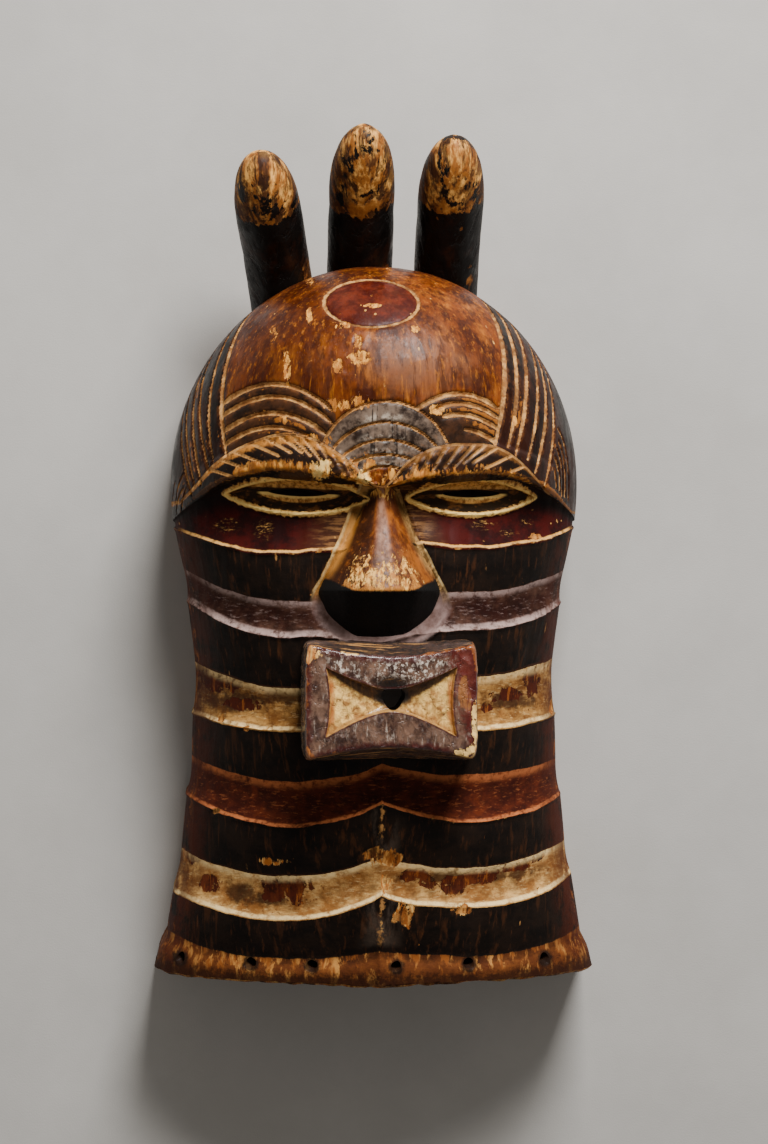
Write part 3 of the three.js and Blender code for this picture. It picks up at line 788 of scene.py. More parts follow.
def makeBlock():
    faceAngle, domeAngle = columnAngles(block["faceStep"]), columnAngles(block["domeStep"])
    facePlaces = [place for zone in range(lastZone, 0, -1) for place in bandRows(zone)]
    eyeRows = round((carvedLines[0][1] - carvedLines[1][1]) / block["eyeStep"])
    domePlaces = list(np.linspace(1, 0, eyeRows, endpoint=False)) + [-up for up in domeRows()]
    face, faceFields = addWalls(*carveSurface(faceAngle, facePlaces))
    dome, domeFields = addWalls(*carveSurface(domeAngle, domePlaces))
    # the lower end of the mask has a worn edge
    nibbled = 0.8 * noise(face[:1, :, 0] / 6 + 70, 0 * face[:1, :, 0], 91) + 0.8
    endRing = face[:1].copy()
    endRing[..., 1] += nibbled - 1.3
    endRing[..., 0] *= 1 - block["endBevel"] / form["chinHalfWidth"]
    endRing[..., 2] = np.maximum(endRing[..., 2] - block["endBevel"], 0)
    face[0, :, 1] += nibbled[0]
    face = np.concatenate([endRing, face])
    faceFields = {name: np.concatenate([grid[:1], grid]) for name, grid in faceFields.items()}
    spare = (face.shape[1] - len(faceAngle)) // 2
    place = [np.sort(np.concatenate([np.arange(-spare, 0) - 9, np.pi - angle, np.arange(spare) + 9]))
             for angle in (faceAngle, domeAngle)]
    domeStart = face.shape[0] * face.shape[1]
    points = np.concatenate([face.reshape(-1, 3), dome.reshape(-1, 3), face[:1].mean((0, 1))[None]])
    faces = np.concatenate([
        loftFaces(*face.shape[:2], capStart=False, capEnd=False),
        loftFaces(*dome.shape[:2], capStart=False, capEnd=False) + domeStart,
        zipFaces(domeStart - face.shape[1], place[0], domeStart, place[1]),
        capFaces(face.shape[1], len(points) - 1),
    ])
    fields = {name: np.concatenate([grid.ravel(), domeFields[name].ravel(), [0]])
              for name, grid in faceFields.items()}
    print("block grids", face.shape, dome.shape)
    return addShell("carvedMask", "bandedFace", points, faces, fields)


hollow = {
    "rows": 58, "columns": 84, "spare": 10, "adzeWidth": 13, "adzeLength": 24, "adzeDepth": 0.9,
    "flare": 1.4,
    # down a side wall: share of its height, height added, share of the flare
    "wallPoints": [(0.66, 0, 0), (0.33, 0, 0), (0, 3, 0), (0, 0.8, 0.3), (0, 0, 1)],
}


def makeHollow():
    angle = np.linspace(np.pi, 0, hollow["columns"] + 1)
    up = np.sin(np.linspace(0, 1, hollow["rows"]) * np.pi / 2)
    y = blend(form["chinY"], form["crownY"] - form["wall"], up)[:, None] + 0 * angle
    points = archPoints(angle[None], y, form["wall"])
    normal = gridNormals(points)
    normal[-1] = (0, 1, 0)
    around = points[..., 0] + 400
    marks = scatterDistance(around / hollow["adzeWidth"], y / hollow["adzeLength"] + 40, 31)
    marks = hollow["adzeDepth"] * (0.6 - marks ** 2)
    marks = marks * smoothstep(form["crownY"] - form["wall"], form["crownY"] - form["wall"] - 12, y)
    points = points + normal * marks[..., None]
    wall = []
    for end, outward in ((0, -1), (-1, 1)):
        top = points[:, end]
        flared = outward * smoothstep(0, 8, np.abs(top[:, 0]))
        side = []
        for share, height, grow in hollow["wallPoints"] + [(0, -hollow["spare"], 1)]:
            wide = top[:, 0] + flared * (grow * hollow["flare"])
            side.append(np.stack([wide, top[:, 1], top[:, 2] * share + height], -1))
        side = np.stack(side, 1)
        wall.append(side[:, ::-1] if outward < 0 else side)
    rings = np.concatenate([wall[0], points, wall[1]], 1)
    start = rings[:1].copy()
    start[..., 1] = form["chinY"] - hollow["spare"]
    return makeShell("hollow", "hollowWood", np.concatenate([start, rings]), capEnd=False)


# The horns

horns = {
    "radius": 21,
    "shapes": [
        {"tip": (-75, 258.5, 126), "root": (-56, 158, 42)},
        {"tip": (-9.5, 275, 130), "root": (-9.5, 166, 42)},
        {"tip": (47, 269, 128), "root": (46, 162, 42)},
    ],
    "rings": 58, "sides": 44,
}


def makeHorn(number):
    shape = horns["shapes"][number]
    root, tip = np.array(shape["root"], float), np.array(shape["tip"], float)
    bend = (root + tip) / 2 + (0, 9, -9)
    along = 1 - (1 - np.linspace(0, 1, horns["rings"])) ** 1.5
    along[-1] = 0.9985
    t = along[:, None]
    centre = (1 - t) ** 2 * root + 2 * t * (1 - t) * bend + t ** 2 * tip
    forward = 2 * (1 - t) * (bend - root) + 2 * t * (tip - bend)
    forward /= np.linalg.norm(forward, axis=1, keepdims=True)
    side = np.array([1, 0, 0]) - forward * forward[:, :1]
    side /= np.linalg.norm(side, axis=1, keepdims=True)
    up = np.cross(side, forward)
    bullet = unit((along - 0.6) / 0.4)
    radius = horns["radius"] * np.sqrt(unit(1 - bullet ** 2.6))
    turn = turns(horns["sides"])
    facet = scatterDistance(turn[None] * 2.2 + 3, along[:, None] * 9 + 7 * number, 51 + 2 * number)
    uneven = 0.5 * noise(np.cos(turn)[None] * 1.5 + 9, along[:, None] * 3 + 5 * number + 9,
                         55) - 0.6 * facet ** 2
    size = radius[:, None] + uneven * smoothstep(0, 6, radius)[:, None]
    points = (centre[:, None] + side[:, None] * (size * np.cos(turn))[..., None]
              + up[:, None] * (size * np.sin(turn))[..., None])
    return makeShell(f"horn{number}", "hornWood", points)


# The nose

noseStations = [
    # y, half width at the foot, half width of the crest, height of the crest
    (59, 5, 2.6, 171.4), (54.5, 6.5, 3.2, 169.8), (50, 8.5, 3.8, 166.4), (44, 12, 5, 163.6),
    (33.8, 16, 7, 164.5), (14.6, 24, 12, 174.4), (-1.4, 33, 19, 183.4),
    (-11, 37, 23, 187), (-14, 37, 22, 184), (-26, 33, 19, 173), (-42, 20, 14, 159),
]
noseSection = [(-1, 0, -1), (-1, 0, 0.25), (-1, 1, 0.84), (-0.42, 1, 0.99), (0.42, 1, 0.99), (1, 1, 0.84),
               (1, 0, 0.25), (1, 0, -1)]


# Rounds a grid of points along one axis by cutting its corners. The two ends stay.
def cutCorners(grid, times, axis):
    grid = np.moveaxis(grid, axis, 0)
    for _ in range(times):
        near, far = grid[:-1], grid[1:]
        cut = np.stack([blend(near, far, 0.25), blend(near, far, 0.75)], 1).reshape(-1, *grid.shape[1:])
        grid = np.concatenate([grid[:1], cut[1:-1], grid[-1:]])
    return np.moveaxis(grid, 0, axis)


def splitSpans(grid, parts, axis):
    grid = np.moveaxis(grid, axis, 0)
    spans = [blend(grid[:-1], grid[1:], part / parts) for part in range(parts)]
    grid = np.concatenate([np.stack(spans, 1).reshape(-1, *grid.shape[1:]), grid[-1:]])
    return np.moveaxis(grid, 0, axis)


def makeNose():
    stations = splitSpans(np.array(noseStations, float), 2, 0)
    grid = []
    for y, foot, crest, z in stations:
        x = blend(nose["topX"], nose["tipX"], min(1, (nose["topY"] - y) / (nose["topY"] - nose["tipY"])))
        row = []
        for side, upper, rise in noseSection:
            base = surfaceZ(x + side * foot, y) - 8
            row.append((x + side * blend(foot, crest, upper), y,
                        base - 2 if rise < 0 else blend(base, z, rise)))
        grid.append(row)
    grid = np.array(grid, float)
    points = cutCorners(cutCorners(splitSpans(grid, 2, 1), 2, 1), 2, 0)
    return makeShell("nose", "noseWood", points)


# The mouth

mouth = {
    "x": 4, "y": -78, "z": 190, "halfWidth": 52, "halfHeight": 36.5, "pinch": 9, "cornerCut": 0.055,
    "recessHalfWidth": 39, "recessHalfHeight": 20.5, "waist": 7.5, "waistLow": 5.4,
    "recessDepth": 3, "waistDepth": 8, "holeX": 5.4, "holeY": -76, "holeRadius": 6.6, "step": 1.4,
    "roll": {"x": 0, "y": 8, "halfWidth": 17, "halfHeight": 9, "depth": 4.5},
    "facet": {"across": 5, "along": 4, "depth": 0.55},
    # each ring back from the front: how far behind it, how much wider, and how much of the pinch is left
    "rings": [(0.35, 0.35, 0.98), (1.2, 0.9, 0.95), (2.6, 1.3, 0.9), (4.5, 1.5, 0.86), (7, 1.7, 0.8),
              (10, 2, 0.72), (14, 2.3, 0.6), (18, 2.5, 0.5), (22, 2.7, 0.4), (26, 2.8, 0.3), (33, 2.8, 0.28),
              (40, 2.8, 0.25), (50, 2.8, 0.2)],
}


def mouthFrontZ(x, y):
    roll, facet = mouth["roll"], mouth["facet"]
    reach = ovalReach(roll, x, y)
    cut = scatterDistance(x / facet["across"] + 60, y / facet["along"] * np.where(y > 0, 1, 0.45) + 60, 41)
    ragged = 0.25 * noise(x / 2.2 + 60, y / 6 + 60, 43)
    return facet["depth"] * (0.3 - cut ** 2) + ragged - roll["depth"] * (1 - smoothstep(0, 1.1, reach))


def makeMouth():
    halfWidth, halfHeight = mouth["halfWidth"] - 1.5, mouth["halfHeight"] - 1.5
    columns, rows = round(2 * halfWidth / mouth["step"]), round(2 * halfHeight / mouth["step"])
    u, v = np.meshgrid(np.linspace(-1, 1, columns + 1), np.linspace(-1, 1, rows + 1))
    corner = 1 - mouth["cornerCut"] * np.abs(u * v) ** 7
    x, y = halfWidth * u * corner, v * (halfHeight - mouth["pinch"] * (1 - u * u)) * corner
    border = np.maximum(np.abs(u) * halfWidth - halfWidth, (np.abs(v) - 1) * halfHeight) + 3
    z = mouthFrontZ(x, y) - 0.5 * unit(border / 3) ** 2
    front = np.stack([x + mouth["x"], y + mouth["y"], z + mouth["z"]], -1)
    wide = columns + 1
    row, column = np.meshgrid(np.arange(rows), np.arange(columns), indexing="ij")
    here = (row * wide + column).ravel()
    frontFaces = np.concatenate([np.stack([here, here + 1, here + wide + 1], -1),
                                 np.stack([here, here + wide + 1, here + wide], -1)])
    index = np.arange(wide * (rows + 1)).reshape(rows + 1, wide)
    edge = np.concatenate([index[0, :-1], index[:-1, -1], index[-1, :0:-1], index[:0:-1, 0]])
    edgeU, edgeV = u.ravel()[edge], v.ravel()[edge]
    rings = []
    for back, wider, pinched in mouth["rings"]:
        bow = mouth["pinch"] * pinched * (1 - edgeU ** 2)
        ripple = 0.35 * noise(edgeU * 14 + 60, edgeV * 10 + 60, 45) * min(1, back / 3)
        corner = 1 - mouth["cornerCut"] * np.abs(edgeU * edgeV) ** 7
        ringX = mouth["x"] + (halfWidth + wider + ripple) * edgeU * corner
        ringY = mouth["y"] + edgeV * (halfHeight + wider + ripple - bow) * corner
        rings.append(np.stack([ringX, ringY, np.full(len(edge), mouth["z"] - back - 0.3)], -1))
    rings = np.stack(rings)
    sideFaces = loftFaces(len(rings), len(edge), capStart=False, capEnd=True)
    start = len(index.ravel())
    turn = (np.arange(len(edge)) + 1) % len(edge)
    here = np.arange(len(edge))
    seam = np.concatenate([np.stack([edge, edge[turn], start + turn], -1),
                           np.stack([edge, start + turn, start + here], -1)])
    points = np.concatenate([front.reshape(-1, 3), rings.reshape(-1, 3), rings[-1].mean(0)[None]])
    sides = np.concatenate([sideFaces + start, seam])
    return addShell("mouth", "mouthPaint", points, np.concatenate([frontFaces,
                                                                   orient(points, sides, frontFaces)]))


# Turns the second set of faces so that it runs the same way round as the first.
def orient(points, faces, like):
    points = points - points.mean(0)
    return faces if volume(points, faces) * volume(points, like) > 0 else faces[:, ::-1]


def recessOutline(grow):
    halfWidth, halfHeight = mouth["recessHalfWidth"] + grow, mouth["recessHalfHeight"] + grow
    lips = []
    for waist in (mouth["waist"] + grow, mouth["waistLow"] + grow):
        lip = bezier((-halfWidth, halfHeight), (-halfWidth / 3, waist), (0, waist), 20)
        lips.append(np.concatenate([lip[:-1], (lip * (-1, 1))[::-1][:-1]]))
    side = bezier((halfWidth, halfHeight), (halfWidth - 5, 0), (halfWidth, -halfHeight), 14)
    outline = np.concatenate([lips[0], side[:-1], lips[1] * (-1, -1), (side * (-1, -1))[:-1]])
    return outline + (mouth["x"], mouth["y"])


def makeRecess():
    centre = np.array([mouth["x"], mouth["y"]])
    outline = recessOutline(0)
    levels = [(1.7, 6), (1.2, 0.9), (0.6, 0), (0, -1.2), (-0.8, -mouth["recessDepth"])]
    loops = [np.c_[recessOutline(grow), np.full(len(outline), mouth["z"] + rise)] for grow, rise in levels]
    inner = recessOutline(-0.8) - centre
    for size in (0.93, 0.85, 0.77, 0.69, 0.61, 0.53, 0.45, 0.36, 0.27, 0.18, 0.09):
        at = inner * size
        towards = 1 - unit(np.abs(at[:, 0]) / mouth["recessHalfWidth"])
        rough = 0.35 * noise(at[:, 0] / 3 + 60, at[:, 1] / 3 + 60, 47)
        dip = mouth["waistDepth"] * towards ** 1.3 * (1 - 0.2 * size)
        loops.append(np.c_[centre + at, mouth["z"] - mouth["recessDepth"] - dip + rough])
    loops[4][:, 2] = loops[5][:, 2] + 0.4
    return makeShell("recess", "mouthPaint", np.stack(loops))


# Holes

rimHoles = {"radius": 3.1, "y": -244, "places": [-124, -80, -42, 10, 56, 106], "lean": 0.42}


def makeDrill(name, finish, outline, bottom, top):
    rings = np.stack([np.c_[outline, np.full(len(outline), float(z))] for z in np.linspace(bottom, top, 6)])
    return makeShell(name, finish, rings)


def makeRimHole(number, x):
    y, radius = rimHoles["y"], rimHoles["radius"]
    share = np.array([x / faceHalfWidthAt(y, 0)])
    halfWidth, middle, wall, power = (np.ravel(value)[0] for value in archAt(share, np.array([y]), 0))
    z = float(np.ravel(surfaceZ(x, y))[0])
    lean = np.sign(x) * np.abs(share[0]) ** (power - 1) / halfWidth
    rise = ((z - wall) / (middle - wall)) ** (power - 1) / (middle - wall)
    outward = np.array([lean, 0, rise]) / np.hypot(lean, rise)
    sideways = np.array([outward[2], 0, -outward[0]])
    turn = turns(20)
    ragged = radius * (1 + 0.12 * noise(np.cos(turn) * 2 + 9, np.sin(turn) * 2 + 3.0 * number + 9, 61))
    across, up = ragged * np.cos(turn), ragged * np.sin(turn)
    circle = sideways * across[:, None] + np.array([0, 1, 0]) * up[:, None]
    slant = np.array([0, -rimHoles["lean"], 0])
    rings = [np.array([x, y, z]) + (outward + slant) * reach + circle * flare
             for reach, flare in ((-25, 1), (-8, 1), (-1.5, 1.05), (0.5, 1.35), (8, 1.7))]
    return makeShell(f"rimHole{number}", "bandedFace", np.stack(rings))


def makeEyeSlit(number, eye):
    turn = turns(48)
    along = eyeShape["slitHalfLength"] * np.cos(turn)
    up = eyeShape["slitHalfHeight"] * np.sin(turn) * np.abs(np.sin(turn)) ** 0.3
    outline = np.stack([eye["x"] + along, eye["y"] + along * eye["tilt"] + up + eyeShape["slitUp"]], -1)
    return makeDrill(f"slit{number}", "hollowWood", outline, 90, 200)


# What the finishes need to know

# Places where the wood is rubbed bare or the paint has flaked off, and one where a painted sheen lies: x, y,
# half width, half height.
wear = {
    "rubbed": [
        (-28, 101, 13, 6), (-12, 103, 13, 6), (-52, 81, 26, 4), (-70, 63, 24, 7), (-14, 63, 12, 12),
        (36, 98, 9, 4), (20, 60, 12, 8), (66, 57, 28, 5), (2, 57, 13, 8), (3, 50, 8, 8), (-52, 80, 30, 5),
        (-14, 62, 10, 9), (-15.5, 139, 4, 7),
        (-15, 129, 11, 6), (-44, 157, 3, 7), (-27, 124, 5, 6), (-66, 146, 3, 8), (0, -176, 13, 9),
        (14, -211, 9, 12),
        (51, -209, 9, 5), (3, -193, 6, 9), (-66, -179, 16, 3.5), (97, 22, 5, 3), (-60, 93, 5, 4),
        (60, 190, 4, 14),
        (-43, 190, 5, 16), (7, 193, 3, 8), (83, 94, 3, 8), (-74, 97, 6, 3),
    ],
    "lost": [
        (-98, -71, 20, 7), (-84, -82, 16, 6), (-68, -72, 9, 4), (77, -76, 19, 6), (97, -69, 9, 15),
        (66, -84, 8, 4),
        (-58, -196, 20, 13), (-104, -196, 10, 8), (-117, -178, 9, 9), (29, -191, 10, 6), (45, -194, 14, 9),
        (62, -190, 16, 6), (98, -178, 12, 6), (-120, -80, 6, 14), (80, -185, 26, 3.5), (-108, -64, 10, 5),
        (20, -186, 14, 5),
    ],
    "stain": [(-85, -201, 9, 6), (-88, -80, 20, 7), (-60, -76, 12, 6), (84, -80, 20, 5), (60, -189, 46, 5),
              (-100, -64, 14, 5), (-70, -203, 12, 4)],
    "specks": [(-95, 29, 9, 5), (-72, 26, 7, 7), (64, 29, 9, 3.5), (92, 31, 5, 2.5), (80, 24, 7, 2.5)],
    "pale": [(-58, 124, 2.8, 17), (-38.5, 62.5, 10, 9), (33, 98.5, 7, 4), (82.5, 94, 2, 5.5), (2, 47, 5, 6),
             (-6, 163, 10, 2), (-15.5, 141, 3.5, 3.5), (-14.5, 130, 9, 5), (-27, 127, 3, 4), (-44, 157, 2, 8),
             (-12, 56, 6, 7), (20, 148, 5, 3), (-24, 150, 6, 3)],
    "mouthBare": [(-49.5, 30, 8, 9), (-53.5, 12, 1.2, 12), (-52, -31, 4, 8), (51, -14, 4, 20),
                  (46, -32, 11, 7),
                  (51, -31, 5, 9), (-25, 30, 8, 3)],
    "mouthTan": [(44, 4, 5.5, 17)],
    # the middle of the painted sheen on the forehead
    "sheenSpot": [(22, 128, 60, 40)],
}
# how far down from its tip each horn is worn
hornWorn = [50, 64, 54]
noseOutline = [(7.5, 50), (18.3, 20), (29.5, -4), (36, -15), (36.8, -21), (33, -28), (26, -34),
               (17, -39.5), (6, -42)]


# How far inside the nearest of some round places a point lies: 1 in the middle, 0 on the edge.
def blobs(places, x, y):
    reach = [1 - np.hypot((x - px) / rx, (y - py) / ry) for px, py, rx, ry in places]
    return np.maximum(np.max(reach, axis=0), -2)


# Distance outside a closed outline, negative inside.
def outlineGap(outline, x, y):
    outline = np.concatenate([outline, outline[:1]])
    gap = cutDistance(x, y, outline, 1, 1e-6)
    crossings = np.zeros(np.shape(x), int)
    for (ax, ay), (bx, by) in zip(outline[:-1], outline[1:]):
        if ay != by:
            crossings += ((ay > y) != (by > y)) & (x < (bx - ax) * (y - ay) / (by - ay) + ax)
    return np.where(crossings % 2 == 1, -gap, gap)


def noseGap(x, y):
    right = np.array(noseOutline, float)
    return outlineGap(np.concatenate([right, (right * (-1, 1))[::-1]]), x, y)


# Shader nodes

# What is being drawn: its node tree, the place its patterns follow, its paints and its colour so far.
sheet = {}


def paint(red, green, blue):
    channels = (channel / 255 for channel in (red, green, blue))
    return (*(c / 12.92 if c <= 0.04 else ((c + 0.055) / 1.055) ** 2.4 for c in channels), 1)


# One output of a shader node. Sums and products of them are Math nodes.
class Signal:
    def __init__(self, socket):
        self.socket = socket

    def __rsub__(self, other):
        return calc("SUBTRACT", other, self)

    def __abs__(self):
        return calc("ABSOLUTE", self, 0)


for sign, kind in (("add", "ADD"), ("sub", "SUBTRACT"), ("mul", "MULTIPLY"), ("truediv", "DIVIDE")):
    setattr(Signal, f"__{sign}__", lambda a, b, kind=kind: calc(kind, a, b))


# Adds a node to the sheet. A word among its inputs is one of the fields that the mask carries.
def addNode(kind, inputs, **settings):
    node = sheet["tree"].nodes.new("ShaderNode" + kind)
    for name, value in settings.items():
        setattr(node, name, value)
    for name, value in inputs.items():
        if isinstance(value, str):
            value = field(value)
        if isinstance(value, Signal):
            sheet["tree"].links.new(value.socket, node.inputs[name])
        else:
            node.inputs[name].default_value = value
    return node


# Adds a node and gives one of its outputs.
def read(kind, output, inputs, **settings):
    return Signal(addNode(kind, inputs, **settings).outputs[output])


def calc(operation, a, b):
    return read("Math", 0, {0: a, 1: b}, operation=operation)


def greatest(first, *others):
    for other in others:
        first = calc("MAXIMUM", first, other)
    return first


# A smooth step from outLow to outHigh as the value goes from low to high.
def ramp(value, low, high, outLow=0, outHigh=1):
    inputs = {"Value": value, "From Min": low, "From Max": high, "To Min": outLow, "To Max": outHigh}
    return read("MapRange", "Result", inputs, interpolation_type="SMOOTHSTEP")


# A colour as the nodes take it: a word is one of the sheet's paints.
def tone(given):
    if isinstance(given, str):
        given = sheet["paints"][given]
    return paint(*given) if isinstance(given, tuple) else given


# Lays one colour over another. The shares are multiplied.
def layer(under, top, share, *shares):
    for other in shares:
        share = share * other
    return read("Mix", 2, {0: share, 6: tone(under), 7: tone(top)}, data_type="RGBA")


# Lays a colour over all that the sheet has so far. Without a share it is the ground.
def lay(top, *shares):
    sheet["color"] = layer(sheet["color"], top, *shares) if shares else top


def field(name):
    return read("Attribute", "Fac", {}, attribute_name=name)


def away(name):
    return abs(field(name))


def woodNoise(scale, detail=4, roughness=0.55, distortion=0, at=None):
    inputs = {"Vector": at or sheet["vector"], "Scale": scale, "Detail": detail, "Roughness": roughness,
              "Distortion": distortion}
    return read("TexNoise", "Fac", inputs)


# Noise with clear light and dark parts, from 0 to 1. drawn below 1 draws it out along the height.
def mottle(scale, low=0.38, high=0.62, drawn=1):
    drawnOut = read("Mapping", "Vector", {"Vector": sheet["vector"], "Scale": (1, drawn, 1)})
    return ramp(woodNoise(scale, 6, 0.68, at=drawnOut), low, high)


# Uneven edges: noise from about -half to half of size.
def uneven(scale, size):
    return (woodNoise(scale, 5, 0.7) - 0.5) * (size * 2)


# The groups: effects that several finishes share

def startGroup(name, outputs, **inputs):
    group = bpy.data.node_groups.new(name, "ShaderNodeTree")
    group.interface.new_socket("Vector", in_out="INPUT", socket_type="NodeSocketVector")
    for socket, start in inputs.items():
        made = group.interface.new_socket(socket, in_out="INPUT", socket_type="NodeSocketFloat")
        made.default_value = start
    for socket in outputs:
        group.interface.new_socket(socket, in_out="OUTPUT", socket_type="NodeSocketFloat")
    given = [Signal(socket) for socket in group.nodes.new("NodeGroupInput").outputs]
    sheet.update(tree=group, vector=given[0])
    return given[1:len(inputs) + 1]


def endGroup(*results):
    sockets = sheet["tree"].nodes.new("NodeGroupOutput").inputs
    for result, socket in zip(results, sockets):
        sheet["tree"].links.new(result.socket, socket)


# Places a group and gives its outputs. Values without a name follow the group's own order.
def effect(name, *given, at=None, **inputs):
    inputs = {"Vector": at or sheet["vector"], **dict(enumerate(given, 1)), **inputs}
    group = addNode("Group", inputs, node_tree=bpy.data.node_groups[name])
    outputs = [Signal(socket) for socket in group.outputs]
    return outputs if len(outputs) > 1 else outputs[0]


# The place that patterns follow, with its height drawn out by stretch.
def along(stretch):
    axis = addNode("SeparateXYZ", {0: sheet["vector"]}).outputs
    height = Signal(axis["Y"]) * stretch
    return read("CombineXYZ", 0, {"X": Signal(axis["X"]), "Y": height, "Z": Signal(axis["Z"])})


# Long fibres along the mask's height, and the dark pores between them.
def makeWoodGrain():
    scale, stretch = startGroup("woodGrain", ["Grain", "Pores"], Scale=90, Stretch=0.08)
    fibre = along(stretch)
    fine = woodNoise(scale * 7, 2, 0.5, at=fibre)
    endGroup(woodNoise(scale, 5, 0.6, 0.4, at=fibre), ramp(fine, 0.6, 0.74))


# Paint or varnish that has come off in patches. Little is gone where Amount is 0.3 and most of it
# where Amount is 0.7. Place adds up to Gain to that as it goes from -0.25 to 0.6.
def makeWornPaint():
    scale, amount, where, gain, edge, stretch = startGroup(
        "wornPaint", ["Mask"], Scale=60, Amount=0.3, Place=-1, Gain=0.3, Edge=0.02, Stretch=1)
    broad = woodNoise(scale, 7, 0.66, 0.3, at=along(stretch))
    level = broad + amount + ramp(where, -0.25, 0.6, 0, gain)
    endGroup(ramp(level, 1 - edge, edge + 1))


# Wood that shows on edges, where the finish is rubbed through. Crest is how proud the edge stands.
def makeEdgeWear():
    crest, scale, reach = startGroup("edgeWear", ["Mask"], Crest=0, Scale=260, Reach=0.3)
    broken = (woodNoise(scale, 5, 0.7) - 0.5) * 1.8
    patchy = ramp(woodNoise(28, 2), 0.35, 0.65, -0.5, 0.3)
    endGroup(ramp(crest / reach + broken + patchy, 0.85, 1.05))


# Darkening that lies in hollows.
def makeCrevices():
    crest, reach = startGroup("crevices", ["Mask"], Crest=0, Reach=0.3)
    cloudy = ramp(woodNoise(140), 0.3, 0.7, -0.3, 0.3)
    endGroup(ramp(crest * -1 / reach + cloudy, 0.1, 1.1))


# Dull and polished places left by hands.
def makeHandRub():
    scale, = startGroup("handRub", ["Value"], Scale=35)
    broad = woodNoise(scale, 3, 0.5, 0.6) * 0.6
    endGroup(ramp(broad + woodNoise(scale * 9, 3, 0.6) * 0.4, 0.34, 0.66))


# Flat cuts left by a knife or an adze, as a height.
def makeToolMarks():
    scale, stretch = startGroup("toolMarks", ["Height"], Scale=130, Stretch=0.5)
    inputs = {"Vector": along(stretch), "Scale": scale, "Smoothness": 0.2, "Randomness": 1}
    cells = read("TexVoronoi", "Distance", inputs, feature="SMOOTH_F1")
    endGroup(cells * cells)


# Small scattered chips, or short scratches where Stretch is low.
def makeFlecks():
    scale, size, share, stretch = startGroup("flecks", ["Mask"], Scale=200, Size=0.2, Share=0.3, Stretch=1)
    drawn = along(stretch)
    bent = (woodNoise(scale * 1.7, 3, at=drawn) - 0.5) * 0.6
    spots = addNode("TexVoronoi", {"Vector": drawn, "Scale": scale}, feature="F1").outputs
    spot = ramp(Signal(spots["Distance"]) + bent, size * 1.15, size)
    pick = read("SeparateColor", 0, {0: Signal(spots["Color"])})
    endGroup(spot * calc("LESS_THAN", pick, share))


# Thin cracks in dry paint.
def makeCracks():
    scale, width = startGroup("cracks", ["Mask"], Scale=90, Width=0.04)
    swirl = read("TexNoise", "Color", {"Vector": sheet["vector"], "Scale": scale * 2})
    shift = read("VectorMath", 0, {0: swirl, "Scale": 0.006}, operation="SCALE")
    bent = read("VectorMath", 0, {0: sheet["vector"], 1: shift}, operation="ADD")
    cells = read("TexVoronoi", "Distance", {"Vector": bent, "Scale": scale}, feature="DISTANCE_TO_EDGE")
    endGroup(ramp(cells, width, 0) * ramp(woodNoise(scale, 3), 0.46, 0.56))


for makeGroup in (makeCracks, makeWoodGrain, makeWornPaint, makeEdgeWear, makeCrevices, makeHandRub,
                  makeToolMarks, makeFlecks):
    makeGroup()
print("wear and grain groups made")


def startFinish(name, settings):
    material = bpy.data.materials.new(name)
    material.use_nodes = True
    sheet.update(material=material, tree=material.node_tree, paints=settings)
    sheet["vector"] = read("TexCoord", "Object", {})
    surface = material.node_tree.nodes["Principled BSDF"]
    surface.inputs["Specular IOR Level"].default_value = settings["specular"]
    surface.inputs["Coat Weight"].default_value = settings["coat"]
    surface.inputs["Coat Roughness"].default_value = settings["coatRoughness"]


# Joins colour, roughness and relief to the surface. relief lists heights and their size in millimetres.
def endFinish(dull, relief):
    tree, settings = sheet["tree"], sheet["paints"]
    rough = ramp(effect("handRub", settings["rubScale"]), 0, 1, *settings["roughness"])
    rough = read("Mix", 0, {0: dull, 2: rough, 3: settings["dullRoughness"]})
    parts = [part * size for part, size in relief]
    height = parts[0]
    for part in parts[1:]:
        height = height + part
    bump = read("Bump", "Normal", {"Height": height, "Distance": mm, "Strength": 1})
    surface = tree.nodes["Principled BSDF"]
    for socket, signal in (("Base Color", sheet["color"]), ("Roughness", rough), ("Normal", bump)):
        tree.links.new(signal.socket, surface.inputs[socket])
    return sheet["material"]


# The domed forehead: varnish, dark plates between cut lines, striped temples and the brows
domeFinish = {
    "specular": 0.15, "coat": 0.03, "coatRoughness": 0.3, "roughness": (0.32, 0.54), "dullRoughness": 0.78,
    "rubScale": 45,
    "deep": (60, 21, 4), "varnish": (122, 58, 12), "golden": (190, 112, 32),
    "paintedSheen": (132, 86, 56), "fibre": (48, 18, 7), "scratch": (226, 168, 92),
    "ringRed": (58, 10, 4), "ringRedLight": (96, 32, 14),
    "plateDark": (34, 21, 13), "plateBrown": (68, 40, 22), "plateSheen": (112, 93, 78),
    "glint": (196, 178, 158), "stripDark": (18, 9, 5), "strip": (44, 17, 7),
    "stripEdge": (132, 78, 36), "browBlack": (26, 16, 11), "browBrown": (86, 48, 24),
    "browBand": (178, 114, 46), "browLine": (184, 132, 74),
    "orangeWood": (170, 102, 38), "bareWood": (236, 166, 76), "cream": (255, 212, 126),
    "groove": (142, 92, 46), "grooveLight": (204, 152, 90), "grooveDirt": (84, 48, 22),
}


